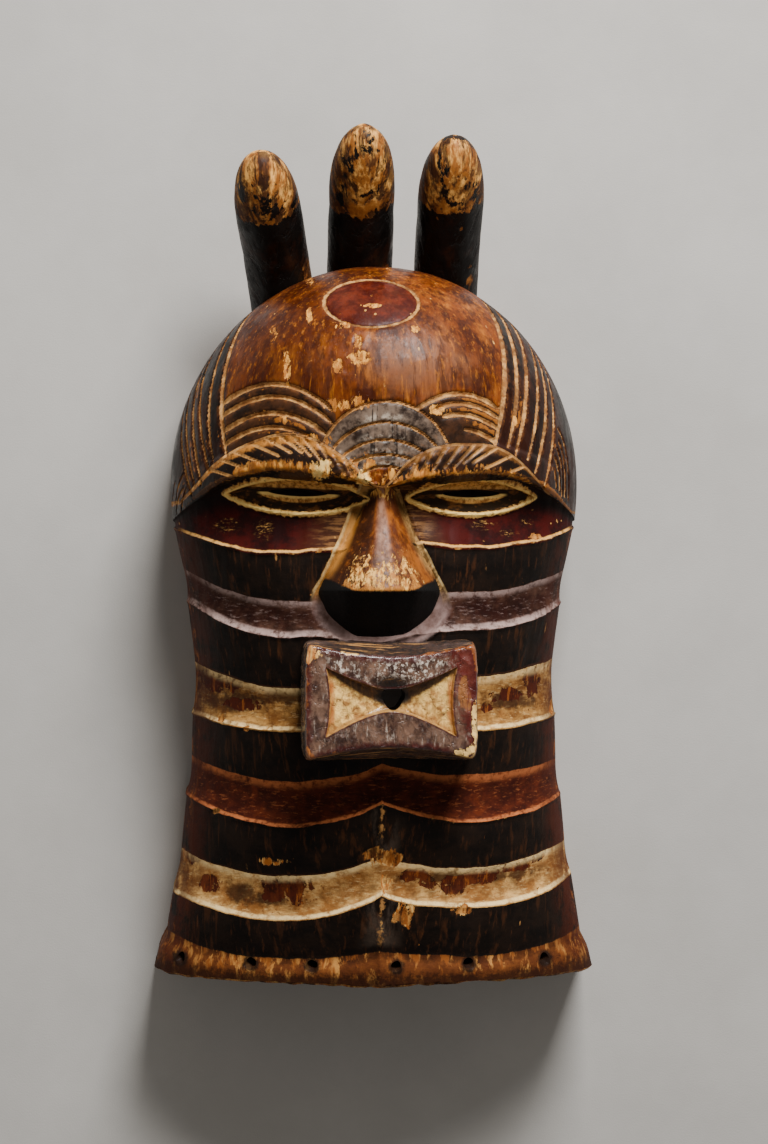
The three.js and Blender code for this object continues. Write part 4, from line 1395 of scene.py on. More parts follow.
def finishDome():
    startFinish("domeVarnish", domeFinish)
    grain, pores = effect("woodGrain", 240, 0.1)
    rubbed, groove = field("rubbed"), field("groove")
    # varnish over the forehead, with a painted sheen in its middle
    cloudy = mottle(36, 0.4, 0.6, 0.55)
    lay(layer("deep", "varnish", cloudy))
    lay("golden", mottle(70, 0.48, 0.7, 0.3), cloudy, 0.6)
    # the left side darker: painted shade
    lay("deep", ramp("across", 0, -0.5), 0.55)
    sheenPlace = field("sheenSpot") + woodNoise(70, 6, 0.65)
    lay("paintedSheen", ramp(sheenPlace, 0.75, 1.35), 0.6)
    lay("fibre", ramp(grain, 0.54, 0.36), 0.7)
    lay("golden", mottle(380, 0.54, 0.68, 0.1), 0.5)
    scratch = effect("flecks", 230, 0.12, 0.14, 0.2)
    scratch = scratch * mottle(40, 0.44, 0.58)
    lay("scratch", scratch, 0.75)
    redTone = layer("ringRed", "ringRedLight", mottle(110, 0.4, 0.66))
    ring = field("ring")
    lay(redTone, ramp(ring, 0.2, -0.6), 0.92)
    ringScratch = effect("flecks", 170, 0.1, 0.4)
    lay("scratch", ringScratch, ramp(ring, 0, -2), 0.6)
    # dark plates between the arcs, grey with a painted sheen and painted glints among the arcs over the nose,
    # and strips on the temples
    plate = ramp("plate", -0.2, 0.3)
    plateTone = mottle(95, 0.36, 0.62)
    inRings = ramp("ringsGap", 3, -4)
    # the plates among the arcs grey: painted sheen
    plateBrownOrSheen = layer("plateBrown", "plateSheen", inRings)
    plateColor = layer("plateDark", plateBrownOrSheen, plateTone)
    rowPlace = calc("MODULO", field("ringRow"), 1)
    glint = ramp(rowPlace, 0.35, 0.85) * ramp(away("across"), 0.14, 0.05) * inRings
    plateColor = layer(plateColor, "glint", glint, mottle(210, 0.44, 0.6), 0.75)
    tick = ramp("tick", 0.8, 0.3) * mottle(90, 0.44, 0.56)
    plateColor = layer(plateColor, "stripDark", tick, inRings, 0.85)
    lay(plateColor, plate)
    temple = ramp("temple", -0.4, 0.3)
    lay(layer("stripDark", "strip", cloudy), temple)
    edgeTone = ramp(groove, 2.6, 1) * mottle(210, 0.44, 0.62)
    edgeShare = greatest(plate * ramp(inRings, 1, 0), temple)
    lay("stripEdge", edgeTone, edgeShare, 0.35)
    worn = effect("wornPaint", 230, Stretch=0.35, Amount=0.29, Place=rubbed, Gain=0.22)
    bare = layer("orangeWood", "bareWood", mottle(300, 0.44, 0.66, 0.3))
    lay(bare, worn)
    # the brows: dark lozenges between slanting cuts, rubbed through along both edges
    browUp = field("browUp")
    ragged = uneven(380, 0.35)
    browRough = browUp + ragged * 0.4
    middle = ramp(away("across"), 0.8, 0.4)
    lozenge = layer("browBlack", "browBrown", plateTone, middle, 0.5)
    onLeft = ramp("across", -0.04, -0.2)
    topBand = ramp(browRough, 0.72, 0.84) * ramp(onLeft, 0, 1, 0.25, 0.95)
    lozenge = layer(lozenge, "browBand", topBand, mottle(190, 0.3, 0.52))
    hatchRough = field("hatch") + ragged * 1.2
    hatchLine = ramp(hatchRough, 1.25, 0.75) * ramp(browRough, 0.12, 0.3)
    across = field("across")
    clearLine = greatest(ramp(across, 0.38, 0.44), ramp(across, -0.2, -0.34), 0.3)
    between = ramp(hatchRough, 1.3, 2.3) * ramp(browRough, 0.8, 0.66)
    lozenge = layer(lozenge, "browBlack", between, ramp(browRough, 0.3, 0.42), 0.85)
    browColor = layer(lozenge, "browLine", hatchLine, mottle(150, 0.3, 0.5), clearLine)
    lowEdge = ramp(browUp, 0.62, 0.2) * ramp(away("across"), 0.88, 0.62)
    browAmount = lowEdge * 0.2 + 0.28
    browWorn = effect("wornPaint", 380, Stretch=0.45, Edge=0.05, Amount=browAmount, Place=rubbed, Gain=0.17)
    browColor = layer(browColor, bare, browWorn)
    browColor = layer(browColor, "fibre", browWorn, ramp(grain, 0.5, 0.42), 0.5)
    # painted shadow along the foot of the brow
    browColor = layer(browColor, "stripDark", ramp(browRough, 0.16, 0.08))
    browEdge = field("browEdge")
    lay(browColor, ramp(browEdge, 0.4, -0.2))
    # cut lines
    cut = ramp(groove + ragged, 1.02, 0.8)
    ringLine = ramp(away("ring") + ragged * 3, 1.1, 0.6)
    browLine = ramp(away("browEdge") + ragged, 1.1, 0.7)
    browLine = browLine * ramp(across, 0.02, 0.14, 1, 0.55)
    cut = greatest(cut, ringLine, browLine)
    cutColor = layer("groove", "grooveLight", mottle(150, 0.4, 0.64))
    cutColor = layer(cutColor, "grooveDirt", mottle(60, 0.48, 0.62), 0.75)
    lay(cutColor, cut)
    edge = effect("edgeWear", Crest="crest", Reach=0.35)
    rimLow = ramp(field("rise") + uneven(90, 9), 3, 9, 0.4, 1)
    edgeShare = ramp(browEdge, -1, 1, 0.15, 0.7) * ramp(inRings, 0, 1, 1, 0.15) * rimLow
    lay("orangeWood", edge, edgeShare)
    pale = effect("wornPaint", 300, Stretch=0.4, Amount=0.27, Place="pale", Gain=0.3)
    pale = pale * ramp("pale", -0.1, 0.1)
    lowPale = layer("bareWood", "cream", ramp(grain, 0.42, 0.54))
    highPale = layer("orangeWood", "bareWood", mottle(330, 0.4, 0.56, 0.3))
    lay(layer(highPale, lowPale, ramp("height", 88, 76)), pale)
    tool = effect("toolMarks", 150, 0.5)
    relief = [(grain, 0.16), (tool, 0.35), (worn, -0.2), (cut, -0.3), (pores, -0.06), (scratch, -0.1),
              (browWorn, -0.15), (pale, -0.2)]
    return endFinish(greatest(cut, worn, pale), relief)


# The banded face: painted flutes between black bands, and the eyes
faceFinish = {
    "specular": 0.11, "coat": 0.03, "coatRoughness": 0.3, "roughness": (0.36, 0.62), "dullRoughness": 0.8,
    "rubScale": 30,
    "sootAndShade": (14, 7, 4), "brownEnd": (72, 26, 10), "keelSheen": (92, 76, 64),
    "streak": (88, 50, 24), "orangeWood": (164, 92, 34), "bareWood": (232, 182, 104),
    "scratch": (184, 130, 72), "maroon": (30, 3, 2), "maroonLight": (62, 8, 4),
    "umber": (58, 33, 17), "tan": (150, 104, 60), "rimBright": (255, 214, 126),
    "ochre": (122, 74, 30), "ochreLight": (222, 164, 88), "lidHollow": (42, 28, 14),
    "channel": (106, 76, 38), "channelLight": (174, 134, 80), "channelGold": (190, 124, 48),
    "channelLip": (204, 176, 120), "lavender": (132, 108, 102), "lavenderDark": (84, 60, 52),
    "holeDark": (20, 11, 6), "fibre": (190, 132, 66), "fibreDark": (134, 74, 28),
    "rimDark": (44, 20, 8),
}
# darker paint, lighter paint, the painted shade in the scoop, what shows where paint is lost, share lost, lip
# (worn pale paint with a painted highlight), lip width in cm
blackBand = ((14, 8, 5), (28, 17, 10), (16, 9, 5), (70, 38, 18), 0.0, (66, 38, 22), 0.05)
zonePaints = [
    ((30, 3, 2), (62, 8, 4), (34, 6, 3), (34, 14, 7), 0.2, (222, 172, 112), 0.18),
    blackBand,
    ((44, 20, 11), (84, 55, 42), (40, 10, 5), (46, 21, 11), 0.23, (168, 142, 134), 0.42),
    blackBand,
    ((134, 86, 38), (196, 146, 80), (92, 50, 18), (72, 26, 11), 0.28, (246, 210, 146), 0.26),
    blackBand,
    ((56, 16, 5), (92, 36, 14), (46, 11, 4), (56, 20, 9), 0.2, (182, 104, 58), 0.22),
    blackBand,
    ((150, 98, 46), (218, 170, 102), (122, 74, 32), (98, 44, 18), 0.29, (250, 216, 152), 0.26),
    blackBand,
    ((66, 30, 10), (118, 66, 26), (90, 46, 18), (48, 22, 9), 0.28, (106, 54, 22), 0.1),
]


def finishFace():
    startFinish("bandedFace", faceFinish)
    grain, pores = effect("woodGrain", 200, 0.12)
    crest, rubbed, lostPlace = field("crest"), field("rubbed"), field("lost")
    fine = uneven(300, 0.5)
    band = greatest(field("bandPos") + uneven(130, 0.03), 0)

    def zoneValue(column):
        node = addNode("ValToRGB", {"Fac": band / len(zonePaints)})
        node.color_ramp.interpolation = "CONSTANT"
        stops = node.color_ramp.elements
        stops.remove(stops[1])
        for number, row in enumerate(zonePaints):
            stop = stops[0] if number == 0 else stops.new(number / len(zonePaints))
            value = row[column]
            stop.color = paint(*value) if isinstance(value, tuple) else (value, value, value, 1)
        return Signal(node.outputs["Color"])

    within = calc("MODULO", band, 2)
    flute = ramp(within, 1.01, 0.99)
    black = 1 - flute
    patchy = mottle(55, 0.38, 0.62, 1.3)
    lay(layer(zoneValue(0), zoneValue(1), patchy))
    # upright fibres and scratches show through the black
    lay("streak", ramp(grain, 0.54, 0.68), black, 0.35)
    lay("streak", mottle(330, 0.58, 0.7, 0.14), black, 0.5)
    cloud = mottle(60, 0.34, 0.6)
    # the middle of each flute darker: painted shade
    scoop = ramp(within, 0.1, 0.4) * ramp(within, 0.86, 0.6) * flute
    lay(zoneValue(2), scoop, cloud, 0.8)
    lay(zoneValue(1), scoop, mottle(260, 0.54, 0.66, 1.5), 0.35)
    lay(zoneValue(2), flute, mottle(110, 0.47, 0.62, 4), 0.55)
    lay(zoneValue(5), flute, mottle(160, 0.55, 0.66, 4), 0.35)
    stain = field("stain") + cloud * 0.7
    lay("umber", ramp(stain, 0.2, 0.9), flute, 0.8)
    lostMask = effect("wornPaint", 85, Amount=zoneValue(4), Place=lostPlace, Edge=0.012)
    lostMask = lostMask * flute
    lostColor = layer(zoneValue(3), "brownEnd", ramp(grain, 0.42, 0.58))
    lostColor = layer(lostColor, "sootAndShade", mottle(120, 0.5, 0.64), 0.6)
    lostColor = layer(lostColor, "orangeWood", mottle(340, 0.54, 0.64, 0.2), 0.6)
    lay(lostColor, lostMask)
    onWhite = flute * ramp(zoneValue(4), 0.24, 0.27)
    pitted = effect("wornPaint", 420, Amount=0.38, Edge=0.03)
    lay(lostColor, pitted, onWhite, mottle(40, 0.42, 0.58), 0.8)
    # the pale lip along each crest and the top edge of each flute: worn pale paint with a painted highlight
    lipWidth = zoneValue(6) * 10
    lipGap = field("crestGap") + fine * 1.8
    lip = ramp(lipGap, lipWidth * 1.15, lipWidth * 0.7)
    lipTone = mottle(200, 0.3, 0.56)
    lay(zoneValue(5), lip, flute, lipTone, 0.92)
    lay(zoneValue(5), ramp(within, 0.24, 0.06), flute, lipTone, 0.75)
    # darker in hollows
    crevice = effect("crevices", Crest=crest, Reach=0.5)
    lay("sootAndShade", crevice, 0.6)
    endStain = ramp(away("across"), 0.84, 0.98) * mottle(55, 0.36, 0.54)
    lay("brownEnd", endStain, 0.8)
    # the polished keel: a grey painted sheen beside it and a painted highlight along its ridge
    keel = ramp(band, 6.2, 7) * ramp(band, 9.95, 9.8)
    keelSheenShare = keel * ramp(away("across"), 0.16, 0.01)
    lay("keelSheen", keelSheenShare, mottle(70, 0.4, 0.58, 0.3), black, 0.62)
    keelRough = away("across") + uneven(190, 0.09)
    keelHighlight = ramp(keelRough, 0.022, 0.004) * mottle(150, 0.46, 0.6, 0.35) * black
    lay("scratch", keel, keelHighlight, ramp(away("across"), 0.05, 0.03), 0.75)
    sidePatch = ramp(away("across"), 0.955, 0.99) * mottle(75, 0.54, 0.64)
    lay("orangeWood", sidePatch, ramp(grain, 0.4, 0.5), 0.7)
    # the band along the rim: worn upright fibres over dark paint
    rimBand = ramp(band, 9.98, 10.02)
    fibres = effect("wornPaint", 150, Stretch=0.35, Edge=0.05, Amount=0.46)
    fibreColor = layer("fibreDark", "fibre", ramp(grain, 0.42, 0.62))
    lay(fibreColor, rimBand, fibres, ramp(away("across"), 1, 0.7, 0.5, 0.9))
    rimLow = ramp(band + fine, 10.5, 10.85)
    lay("rimDark", rimLow, 0.88)
    worn = effect("wornPaint", 210, Stretch=0.4, Amount=0.27, Place=rubbed, Gain=0.25)
    bare = layer("orangeWood", "bareWood", mottle(300, 0.42, 0.66, 0.3))
    lay(bare, worn)
    edge = effect("edgeWear", Crest=crest, Reach=0.55)
    rimSide = ramp(field("rise") + uneven(90, 9), 3, 9, 0.45, 1)
    lay(bare, edge, black, rimSide, 0.8)
    scratch = effect("flecks", 170, 0.09, 0.16, 0.25)
    lay("scratch", scratch, black, mottle(30, 0.45, 0.6), 0.8)
    # eye sockets
    eyeOut, eyeAbove, lid = field("eyeOut"), field("eyeAbove"), field("lid")
    jagged = fine * 4.5
    brushed = mottle(170, 0.4, 0.62, 0.5)
    shade = layer("maroon", "maroonLight", patchy)
    # painted shadow under the brow, over the top of the socket
    shade = layer(shade, "sootAndShade", ramp(band, 0.5, 0.15), 0.85)
    beside = field("channel")
    strokes = mottle(70, 0.46, 0.62, 6)
    shade = layer(shade, "umber", ramp(beside, 5.5, 1.4), 0.85)
    shade = layer(shade, "tan", ramp(beside, 4.5, 1.2), strokes, 0.55)
    socketChips = effect("flecks", 240, 0.14, 0.3)
    shade = layer(shade, "ochreLight", socketChips, mottle(34, 0.52, 0.62), 0.8)
    # the pale lip at the socket's lower edge: worn paint with a painted highlight
    socketLip = ramp(lipGap, 2.3, 1.4) * ramp(away("across"), 0.99, 0.94)
    shade = layer(shade, "ochreLight", socketLip, ramp(lipTone, 0, 1, 0.45, 1))
    speck = mottle(420, 0.5, 0.66, 2.6) * mottle(120, 0.42, 0.6, 2)
    shade = layer(shade, "ochreLight", speck, ramp("specks", -0.15, 0.5), 0.7)
    lay(shade, ramp(band, 1, 0.97))
    streaky = mottle(330, 0.36, 0.6, 0.35)
    lids = layer("ochre", "ochreLight", streaky)
    upper = ramp(eyeAbove + fine * 1.6, 3.8, 4.8)
    eyeColor = layer("lidHollow", "ochre", mottle(120, 0.52, 0.64, 2.5), 0.6)
    eyeColor = layer(eyeColor, lids, upper, 0.9)
    lower = ramp(lid, 0.1, 0.3) * ramp(eyeAbove, 1.7, 1.2) * ramp(away("eyeAlong"), 0.58, 0.48)
    lidTop = ramp(lid + fine, 0.5, 0.8)
    eyeColor = layer(eyeColor, layer(lids, "rimBright", lidTop), lower)
    lay(eyeColor, ramp(eyeOut, -0.7, -1.3))
    rimGap = abs(eyeOut) + jagged
    upperRim = layer(lids, "rimBright", ramp(rimGap, 1.1, 0.4), 0.85)
    lowerRim = layer("ochreLight", "rimBright", ramp(rimGap, 1.6, 0.7))
    rimColor = layer(lowerRim, upperRim, ramp(eyeAbove, -2, 2))
    rimColor = layer(rimColor, "ochre", ramp(streaky, 0.3, 0), 0.6)
    lay(rimColor, ramp(rimGap, 2, 1.4), ramp(eyeOut, 6, 4))
    # the channel beside the nose: golden on the left, pale on the right
    besideRough = beside + fine * 0.35
    onLeft = ramp("across", 0.02, -0.02) * ramp("height", 58, 10)
    channelColor = layer("channel", "channelLight", brushed)
    channelColor = layer(channelColor, "channelGold", onLeft, ramp(brushed, 0, 1, 0.5, 1))
    lipLine = ramp(abs(beside - 1), 0.2, 0.08)
    channelColor = layer(channelColor, "channelLip", lipLine, ramp(brushed, 0, 1, 0.3, 0.9))
    # darker along the foot of the nose
    channelColor = layer(channelColor, "sootAndShade", ramp(besideRough, 0.3, 0.05), 0.8)
    lavender = layer("lavenderDark", "lavender", cloud)
    channelColor = layer(channelColor, lavender, ramp("height", -8, -22))
    lowPart = ramp("height", -6, -22)
    onRight = ramp("across", 0, 0.03) * ramp("height", 8, 24)
    reachOut = besideRough + onRight * 0.4
    fade = ramp(reachOut, 1.2, ramp(lowPart, 0, 1, 1.05, 0.55))
    inChannel = fade * ramp(band, 4.2, 3.6) * ramp(eyeOut, -1, 0.4)
    lay(channelColor, inChannel, 0.9)
    chipped = ramp(field("chip") + fine * 0.3, 0.14, 0.36)
    chipColor = layer("fibreDark", "fibre", mottle(300, 0.42, 0.6, 0.15))
    chipColor = layer(chipColor, "rimDark", mottle(260, 0.5, 0.6, 0.25), 0.8)
    lay(chipColor, chipped)
    # the rim holes' insides and their edges painted dark as shade
    holes = ramp(field("holeGap") + fine * 5, 3.6, 0.6)
    lay("holeDark", holes, 0.9)
    tool = effect("toolMarks", 120, 0.3)
    relief = [(grain, 0.3), (tool, 0.5), (pores, -0.08), (lostMask, -0.35), (worn, -0.25), (scratch, -0.2),
              (fine, 0.3)]
    dull = greatest(flute * 0.85, worn, chipped, ramp(away("across"), 0.5, 0.2, 0.7, 0))
    return endFinish(dull, relief)


# The nose: polished down the bridge, rubbed bare at the tip, and painted black underneath as shade
noseFinish = {
    "specular": 0.17, "coat": 0.04, "coatRoughness": 0.35, "roughness": (0.4, 0.62), "dullRoughness": 0.74,
    "rubScale": 60,
    "brown": (84, 38, 12), "orange": (146, 80, 24), "dark": (44, 19, 8),
    "sheen": (156, 118, 96), "orangeWood": (172, 108, 44), "bareWood": (244, 186, 98),
    "black": (10, 7, 6),
}


def finishNose():
    startFinish("noseWood", noseFinish)
    grain, pores = effect("woodGrain", 210, 0.12)
    height, across = field("height"), field("noseAcross")
    side = abs(across)
    cloudy = mottle(110, 0.38, 0.62, 0.5)
    lay(layer("brown", "orange", cloudy))
    lay("sheen", ramp(side, 0.42, 0.12), ramp(cloudy, 0, 1, 0.3, 0.8))
    # the left side darker: painted shade
    shadedLeft = ramp(across, -0.3, -0.6)
    lay("dark", shadedLeft, mottle(150, 0.34, 0.52), 0.9)
    lay("dark", ramp(grain, 0.5, 0.36), 0.5)
    tip = ramp(height, 22, -2) * ramp(side, 1.2, 0.8)
    lay("dark", tip, mottle(130, 0.42, 0.56), 0.7)
    root = ramp(height, 40, 49)
    amount = tip * 0.22 + root * 0.22 + 0.31
    worn = effect("wornPaint", 380, Stretch=0.3, Edge=0.04, Amount=amount)
    bare = layer("orangeWood", "bareWood", mottle(420, 0.4, 0.6, 0.25))
    bare = layer(bare, "brown", mottle(330, 0.54, 0.62, 0.4), 0.7)
    lay(bare, worn)
    edge = effect("edgeWear", Crest="crest", Reach=0.3)
    lay("orangeWood", edge, 0.8)
    channelTone = layer(faceFinish["channel"], faceFinish["channelLight"], cloudy)
    channelTone = layer(channelTone, faceFinish["channelGold"], ramp(across, 0.1, -0.1), 0.8)
    lay(channelTone, ramp(side, 1.2, 1.5), ramp(height, -8, 4), 0.85)
    pale = effect("wornPaint", 330, Stretch=0.5, Amount=0.27, Place="pale", Gain=0.2)
    lay("bareWood", pale, ramp("pale", -0.1, 0.1))
    # the underside painted black as shade
    raised = ramp(side, 0.5, 1.5, 0, -7)
    under = ramp(height + raised + uneven(200, 1.8), -10.6, -12.2)
    lay("black", under)
    tool = effect("toolMarks", 170, 0.5)
    relief = [(grain, 0.2), (tool, 0.45), (worn, -0.2), (pores, -0.06)]
    return endFinish(greatest(worn, under), relief)


# The mouth box: dark gloss over knife cuts, chipped edges and a pale recess
mouthFinish = {
    "specular": 0.4, "coat": 0.45, "coatRoughness": 0.14, "roughness": (0.2, 0.42), "dullRoughness": 0.75,
    "rubScale": 70,
    "plum": (56, 32, 23), "greyPlum": (114, 84, 66), "glint": (224, 206, 188),
    "rollShade": (52, 29, 16), "darkRed": (92, 18, 9), "redEdge": (66, 11, 5),
    "orangeWood": (184, 104, 36), "paleWood": (244, 198, 116), "tanFace": (150, 94, 46),
    "sideDark": (24, 14, 8), "side": (62, 36, 20), "splinter": (184, 132, 74),
    "cream": (255, 206, 114), "creamDark": (160, 108, 48), "slope": (78, 46, 22),
    "sootAndShade": (12, 9, 9),
}


def finishMouth():
    startFinish("mouthPaint", mouthFinish)
    grain = effect("woodGrain", 260, 0.12)[0]
    back, edgeIn, mouthX = field("mouthBack"), field("mouthEdge"), field("mouthX")
    mouthY, recess = field("mouthY"), field("recessOut")
    fine = uneven(320, 0.5)
    tone = mottle(130, 0.36, 0.62, 0.6)
    lay(layer("plum", "greyPlum", tone))
    # bright facets on the upper lip, upright scratches on the lower one
    upperLip = ramp(mouthY, -2, 8)
    facets = mottle(400, 0.5, 0.57, 0.7) * mottle(55, 0.36, 0.52)
    facets = facets * ramp(abs(mouthX), 44, 30)
    lay("glint", facets, upperLip, 0.75)
    scratches = mottle(420, 0.55, 0.68, 0.2)
    lay("glint", scratches, ramp(upperLip, 1, 0), 0.4)
    # painted shade in the dip above the hole and round the hole's upper side
    lay("rollShade", ramp("roll", -0.1, 0.6), 0.95)
    shadeNearHole = ramp("mouthHole", 13, 8) * ramp(mouthY, -4, 1)
    lay("sootAndShade", shadeNearHole, 0.9)
    redSide = ramp(mouthX + fine * 26 + mouthY * 0.25, 36, 47)
    lay("darkRed", redSide, 0.8)
    border = ramp(edgeIn + fine * 9, 5.5, 1.5)
    lay("redEdge", border, 0.9)
    tanMask = effect("wornPaint", 110, Stretch=0.35, Edge=0.06, Amount=0.27, Place="mouthTan")
    lay("tanFace", tanMask, 0.85)
    bareMask = effect("wornPaint", 170, Stretch=0.7, Amount=0.27, Place="mouthBare")
    bareColor = layer("orangeWood", "paleWood", ramp(mouthX, -60, 20))
    bareColor = layer(bareColor, "paleWood", ramp(grain, 0.45, 0.6), 0.8)
    lay(bareColor, bareMask)
    # the sides of the box are layered like split wood
    sideColor = layer("sideDark", "side", ramp(grain, 0.35, 0.65))
    layers = read("Mapping", "Vector", {"Vector": sheet["vector"], "Scale": (0.2, 1, 1.6)})
    splinter = effect("wornPaint", 170, Amount=0.41, Edge=0.03, at=layers)
    sideColor = layer(sideColor, "splinter", splinter, 0.85)
    sides = ramp(back + fine * 2, 1.2, 2.4) * ramp(recess, 1, 3)
    lay(sideColor, sides)
    # the recess
    recessColor = layer("creamDark", "cream", mottle(170, 0.38, 0.6))
    # darker cream near the recess's edge
    nearEdge = ramp(recess + fine * 3, -3.2, -0.8)
    recessColor = layer(recessColor, "creamDark", nearEdge, 0.7)
    # the recess's upper wall under the lip darker: painted shade
    slopeEdge = field("slope") + fine * 5
    recessColor = layer(recessColor, "slope", ramp(slopeEdge, -1.2, 0.8), 0.92)
    ends = ramp(abs(mouthX), 32.5, 35.5) * ramp(away("mouthY"), 15, 10)
    recessColor = layer(recessColor, "orangeWood", ends, mottle(200, 0.4, 0.56, 0.3), 0.85)
    crack = effect("cracks", 130, 0.05)
    recessColor = layer(recessColor, "slope", crack, mottle(60, 0.4, 0.6), 0.7)
    recessColor = layer(recessColor, "creamDark", mottle(240, 0.5, 0.66, 0.2), 0.6)
    recessColor = layer(recessColor, "sootAndShade", shadeNearHole, 0.9)
    inRecess = ramp(recess + fine * 1.2, 0.9, 0.2)
    lay(recessColor, inRecess)
    rimLine = ramp(abs(recess - 0.9), 0.8, 0.3)
    lay("redEdge", rimLine, ramp(tone, 0, 1, 0.4, 0.9))
    edge = effect("edgeWear", Crest="crest", Reach=0.4)
    lay("orangeWood", edge, ramp(edgeIn, 6, 3), 0.4)
    # the inside of the hole painted dark as shade
    shadeInHole = ramp(back, 8, 11) * ramp(recess, 0.5, -0.5) * ramp("mouthHole", 9.5, 8)
    lay("sootAndShade", shadeInHole)
    tool = effect("toolMarks", 230, 0.6)
    relief = [(grain, 0.3), (tool, 1.3), (bareMask, -0.25), (crack, -0.3), (fine, 0.3), (facets, 0.2)]
    return endFinish(greatest(inRecess, bareMask, sides), relief)


# The horns: shafts painted dark as shade, tips rubbed down to golden wood
hornFinish = {
    "specular": 0.16, "coat": 0.04, "coatRoughness": 0.3, "roughness": (0.36, 0.6), "dullRoughness": 0.7,
    "rubScale": 50,
    "black": (12, 8, 6), "brown": (52, 25, 10), "streak": (40, 18, 8),
    "goldDark": (146, 86, 32), "gold": (236, 172, 88),
}


def finishHorns():
    startFinish("hornWood", hornFinish)
    grain = effect("woodGrain", 170, 0.13)[0]
    # shafts near black: painted shade
    lay(layer("black", "brown", mottle(60, 0.5, 0.7, 0.4), 0.6))
    amount = ramp("hornTip", 1.06, 0.84, 0, 0.44) + 0.12
    worn = effect("wornPaint", 110, Stretch=0.4, Edge=0.02, Amount=amount, Place="rubbed", Gain=0.4)
    gold = layer("goldDark", "gold", mottle(190, 0.42, 0.62, 0.3))
    gold = layer(gold, "brown", mottle(110, 0.46, 0.6, 0.3), 0.85)
    # the cap darker towards its lower edge and brown at its sides: painted shade
    capEdge = ramp(field("hornTip") + uneven(140, 0.5), 0.58, 0.86)
    gold = layer(gold, "goldDark", capEdge, 0.7)
    sideRough = field("hornSide") + uneven(120, 0.9)
    gold = layer(gold, "brown", ramp(sideRough, 0.45, 0.8), mottle(300, 0.34, 0.5, 0.2), 0.85)
    lay(gold, worn)
    streaks = ramp(grain, 0.47, 0.39)
    lay("streak", streaks, worn, 0.85)
    scratch = effect("flecks", 190, 0.11, 0.12, 0.25)
    lay("goldDark", scratch, 0.5)
    tool = effect("toolMarks", 90, 0.35)
    relief = [(grain, 0.6), (tool, 0.8), (streaks, -0.3), (scratch, -0.2)]
    return endFinish(worn, relief)


# The inside and the rim: plain adzed wood darkened by use
hollowFinish = {
    "specular": 0.2, "coat": 0, "coatRoughness": 0.5, "roughness": (0.6, 0.85), "dullRoughness": 0.8,
    "rubScale": 25,
    "dark": (58, 32, 15), "wood": (132, 84, 44), "stain": (76, 43, 22), "rub": (168, 116, 64),
}


def finishHollow():
    startFinish("hollowWood", hollowFinish)
    grain, pores = effect("woodGrain", 90, 0.08)
    lay(layer("dark", "wood", ramp(grain, 0.34, 0.66)))
    lay("stain", mottle(20, 0.36, 0.64), 0.65)
    lay("dark", pores, 0.5)
    edge = effect("edgeWear", Crest="crest", Reach=0.5)
    lay("rub", edge, 0.7)
    tool = effect("toolMarks", 60, 0.5)
    return endFinish(edge, [(grain, 0.6), (pores, -0.2), (tool, 0.6)])


# The plain floor: pale, with a faint cloudiness
floorFinish = {
    "specular": 0.1, "coat": 0, "coatRoughness": 0.5, "roughness": (0.7, 0.85), "dullRoughness": 0.9,
    "rubScale": 3, "shade": (176, 172, 166), "light": (188, 184, 178),
}


def finishFloor():
    startFinish("paleFloor", floorFinish)
    lay(layer("shade", "light", mottle(4, 0.3, 0.7)))
    grit = woodNoise(900, 3)
    return endFinish(0, [(grit, 0.1)])


woodMaterials = [finishDome(), finishFace(), finishNose(), finishMouth(), finishHorns(), finishHollow()]
print("finishes made:", ", ".join(finishes))

# Joining

joining = {"holeSides": 40, "holeWave": 0.12, "placePasses": 6, "crestPasses": 2, "sharpDegrees": 50}
mask = makeBlock()
added = [makeHorn(number) for number in range(len(horns["shapes"]))] + [makeNose(), makeMouth()]
turn = turns(joining["holeSides"])
holeRadius = mouth["holeRadius"] * (1 + joining["holeWave"] * np.sin(3 * turn))
holeOutline = np.stack([mouth["holeX"] + holeRadius * 1.05 * np.cos(turn),
                        mouth["holeY"] + holeRadius * np.sin(turn)], -1)
removed = [makeHollow(), makeRecess(), makeDrill("mouthHole", "mouthPaint", holeOutline, 80, 210)]
removed += [makeEyeSlit(number, eye) for number, eye in enumerate(eyeShape["eyes"])]
removed += [makeRimHole(number, x) for number, x in enumerate(rimHoles["places"])]
for tools, operation in ((added, "UNION"), (removed, "DIFFERENCE")):
    for tool in tools:
        cut = mask.modifiers.new(tool.name, "BOOLEAN")
        cut.object, cut.operation, cut.solver = tool, operation, "MANIFOLD"
graph = bpy.context.evaluated_depsgraph_get()
joined = bpy.data.meshes.new_from_object(mask.evaluated_get(graph))
mask.modifiers.clear()
mask.data = joined
for tool in added + removed:
    bpy.data.objects.remove(tool)
joined.calc_loop_triangles()
print("mask joined:", len(joined.vertices), "vertices,", len(joined.loop_triangles), "triangles")


# One property of all the points, edges, faces or corners of a mesh.
def readAll(items, name, width=1, kind=float):
    data = np.zeros(len(items) * width, kind)
    items.foreach_get(name, data)
    return data.reshape(-1, width) if width > 1 else data


# Moves each value halfway to the mean of its neighbours.
def relax(data):
    total = np.bincount(near, data[far], len(data)) + np.bincount(far, data[near], len(data))
    return 0.5 * data + 0.5 * total / degree


places = readAll(joined.vertices, "co", 3) / mm
edges = readAll(joined.edges, "vertices", 2, np.int32)
near, far = edges.T
degree = np.bincount(edges.ravel(), minlength=len(places))
smoothed = places
for _ in range(joining["placePasses"]):
    smoothed = np.stack([relax(column) for column in smoothed.T], -1)
crest = np.einsum("ij,ij->i", places - smoothed, readAll(joined.vertex_normals, "vector", 3))
for _ in range(joining["crestPasses"]):
    crest = relax(crest)

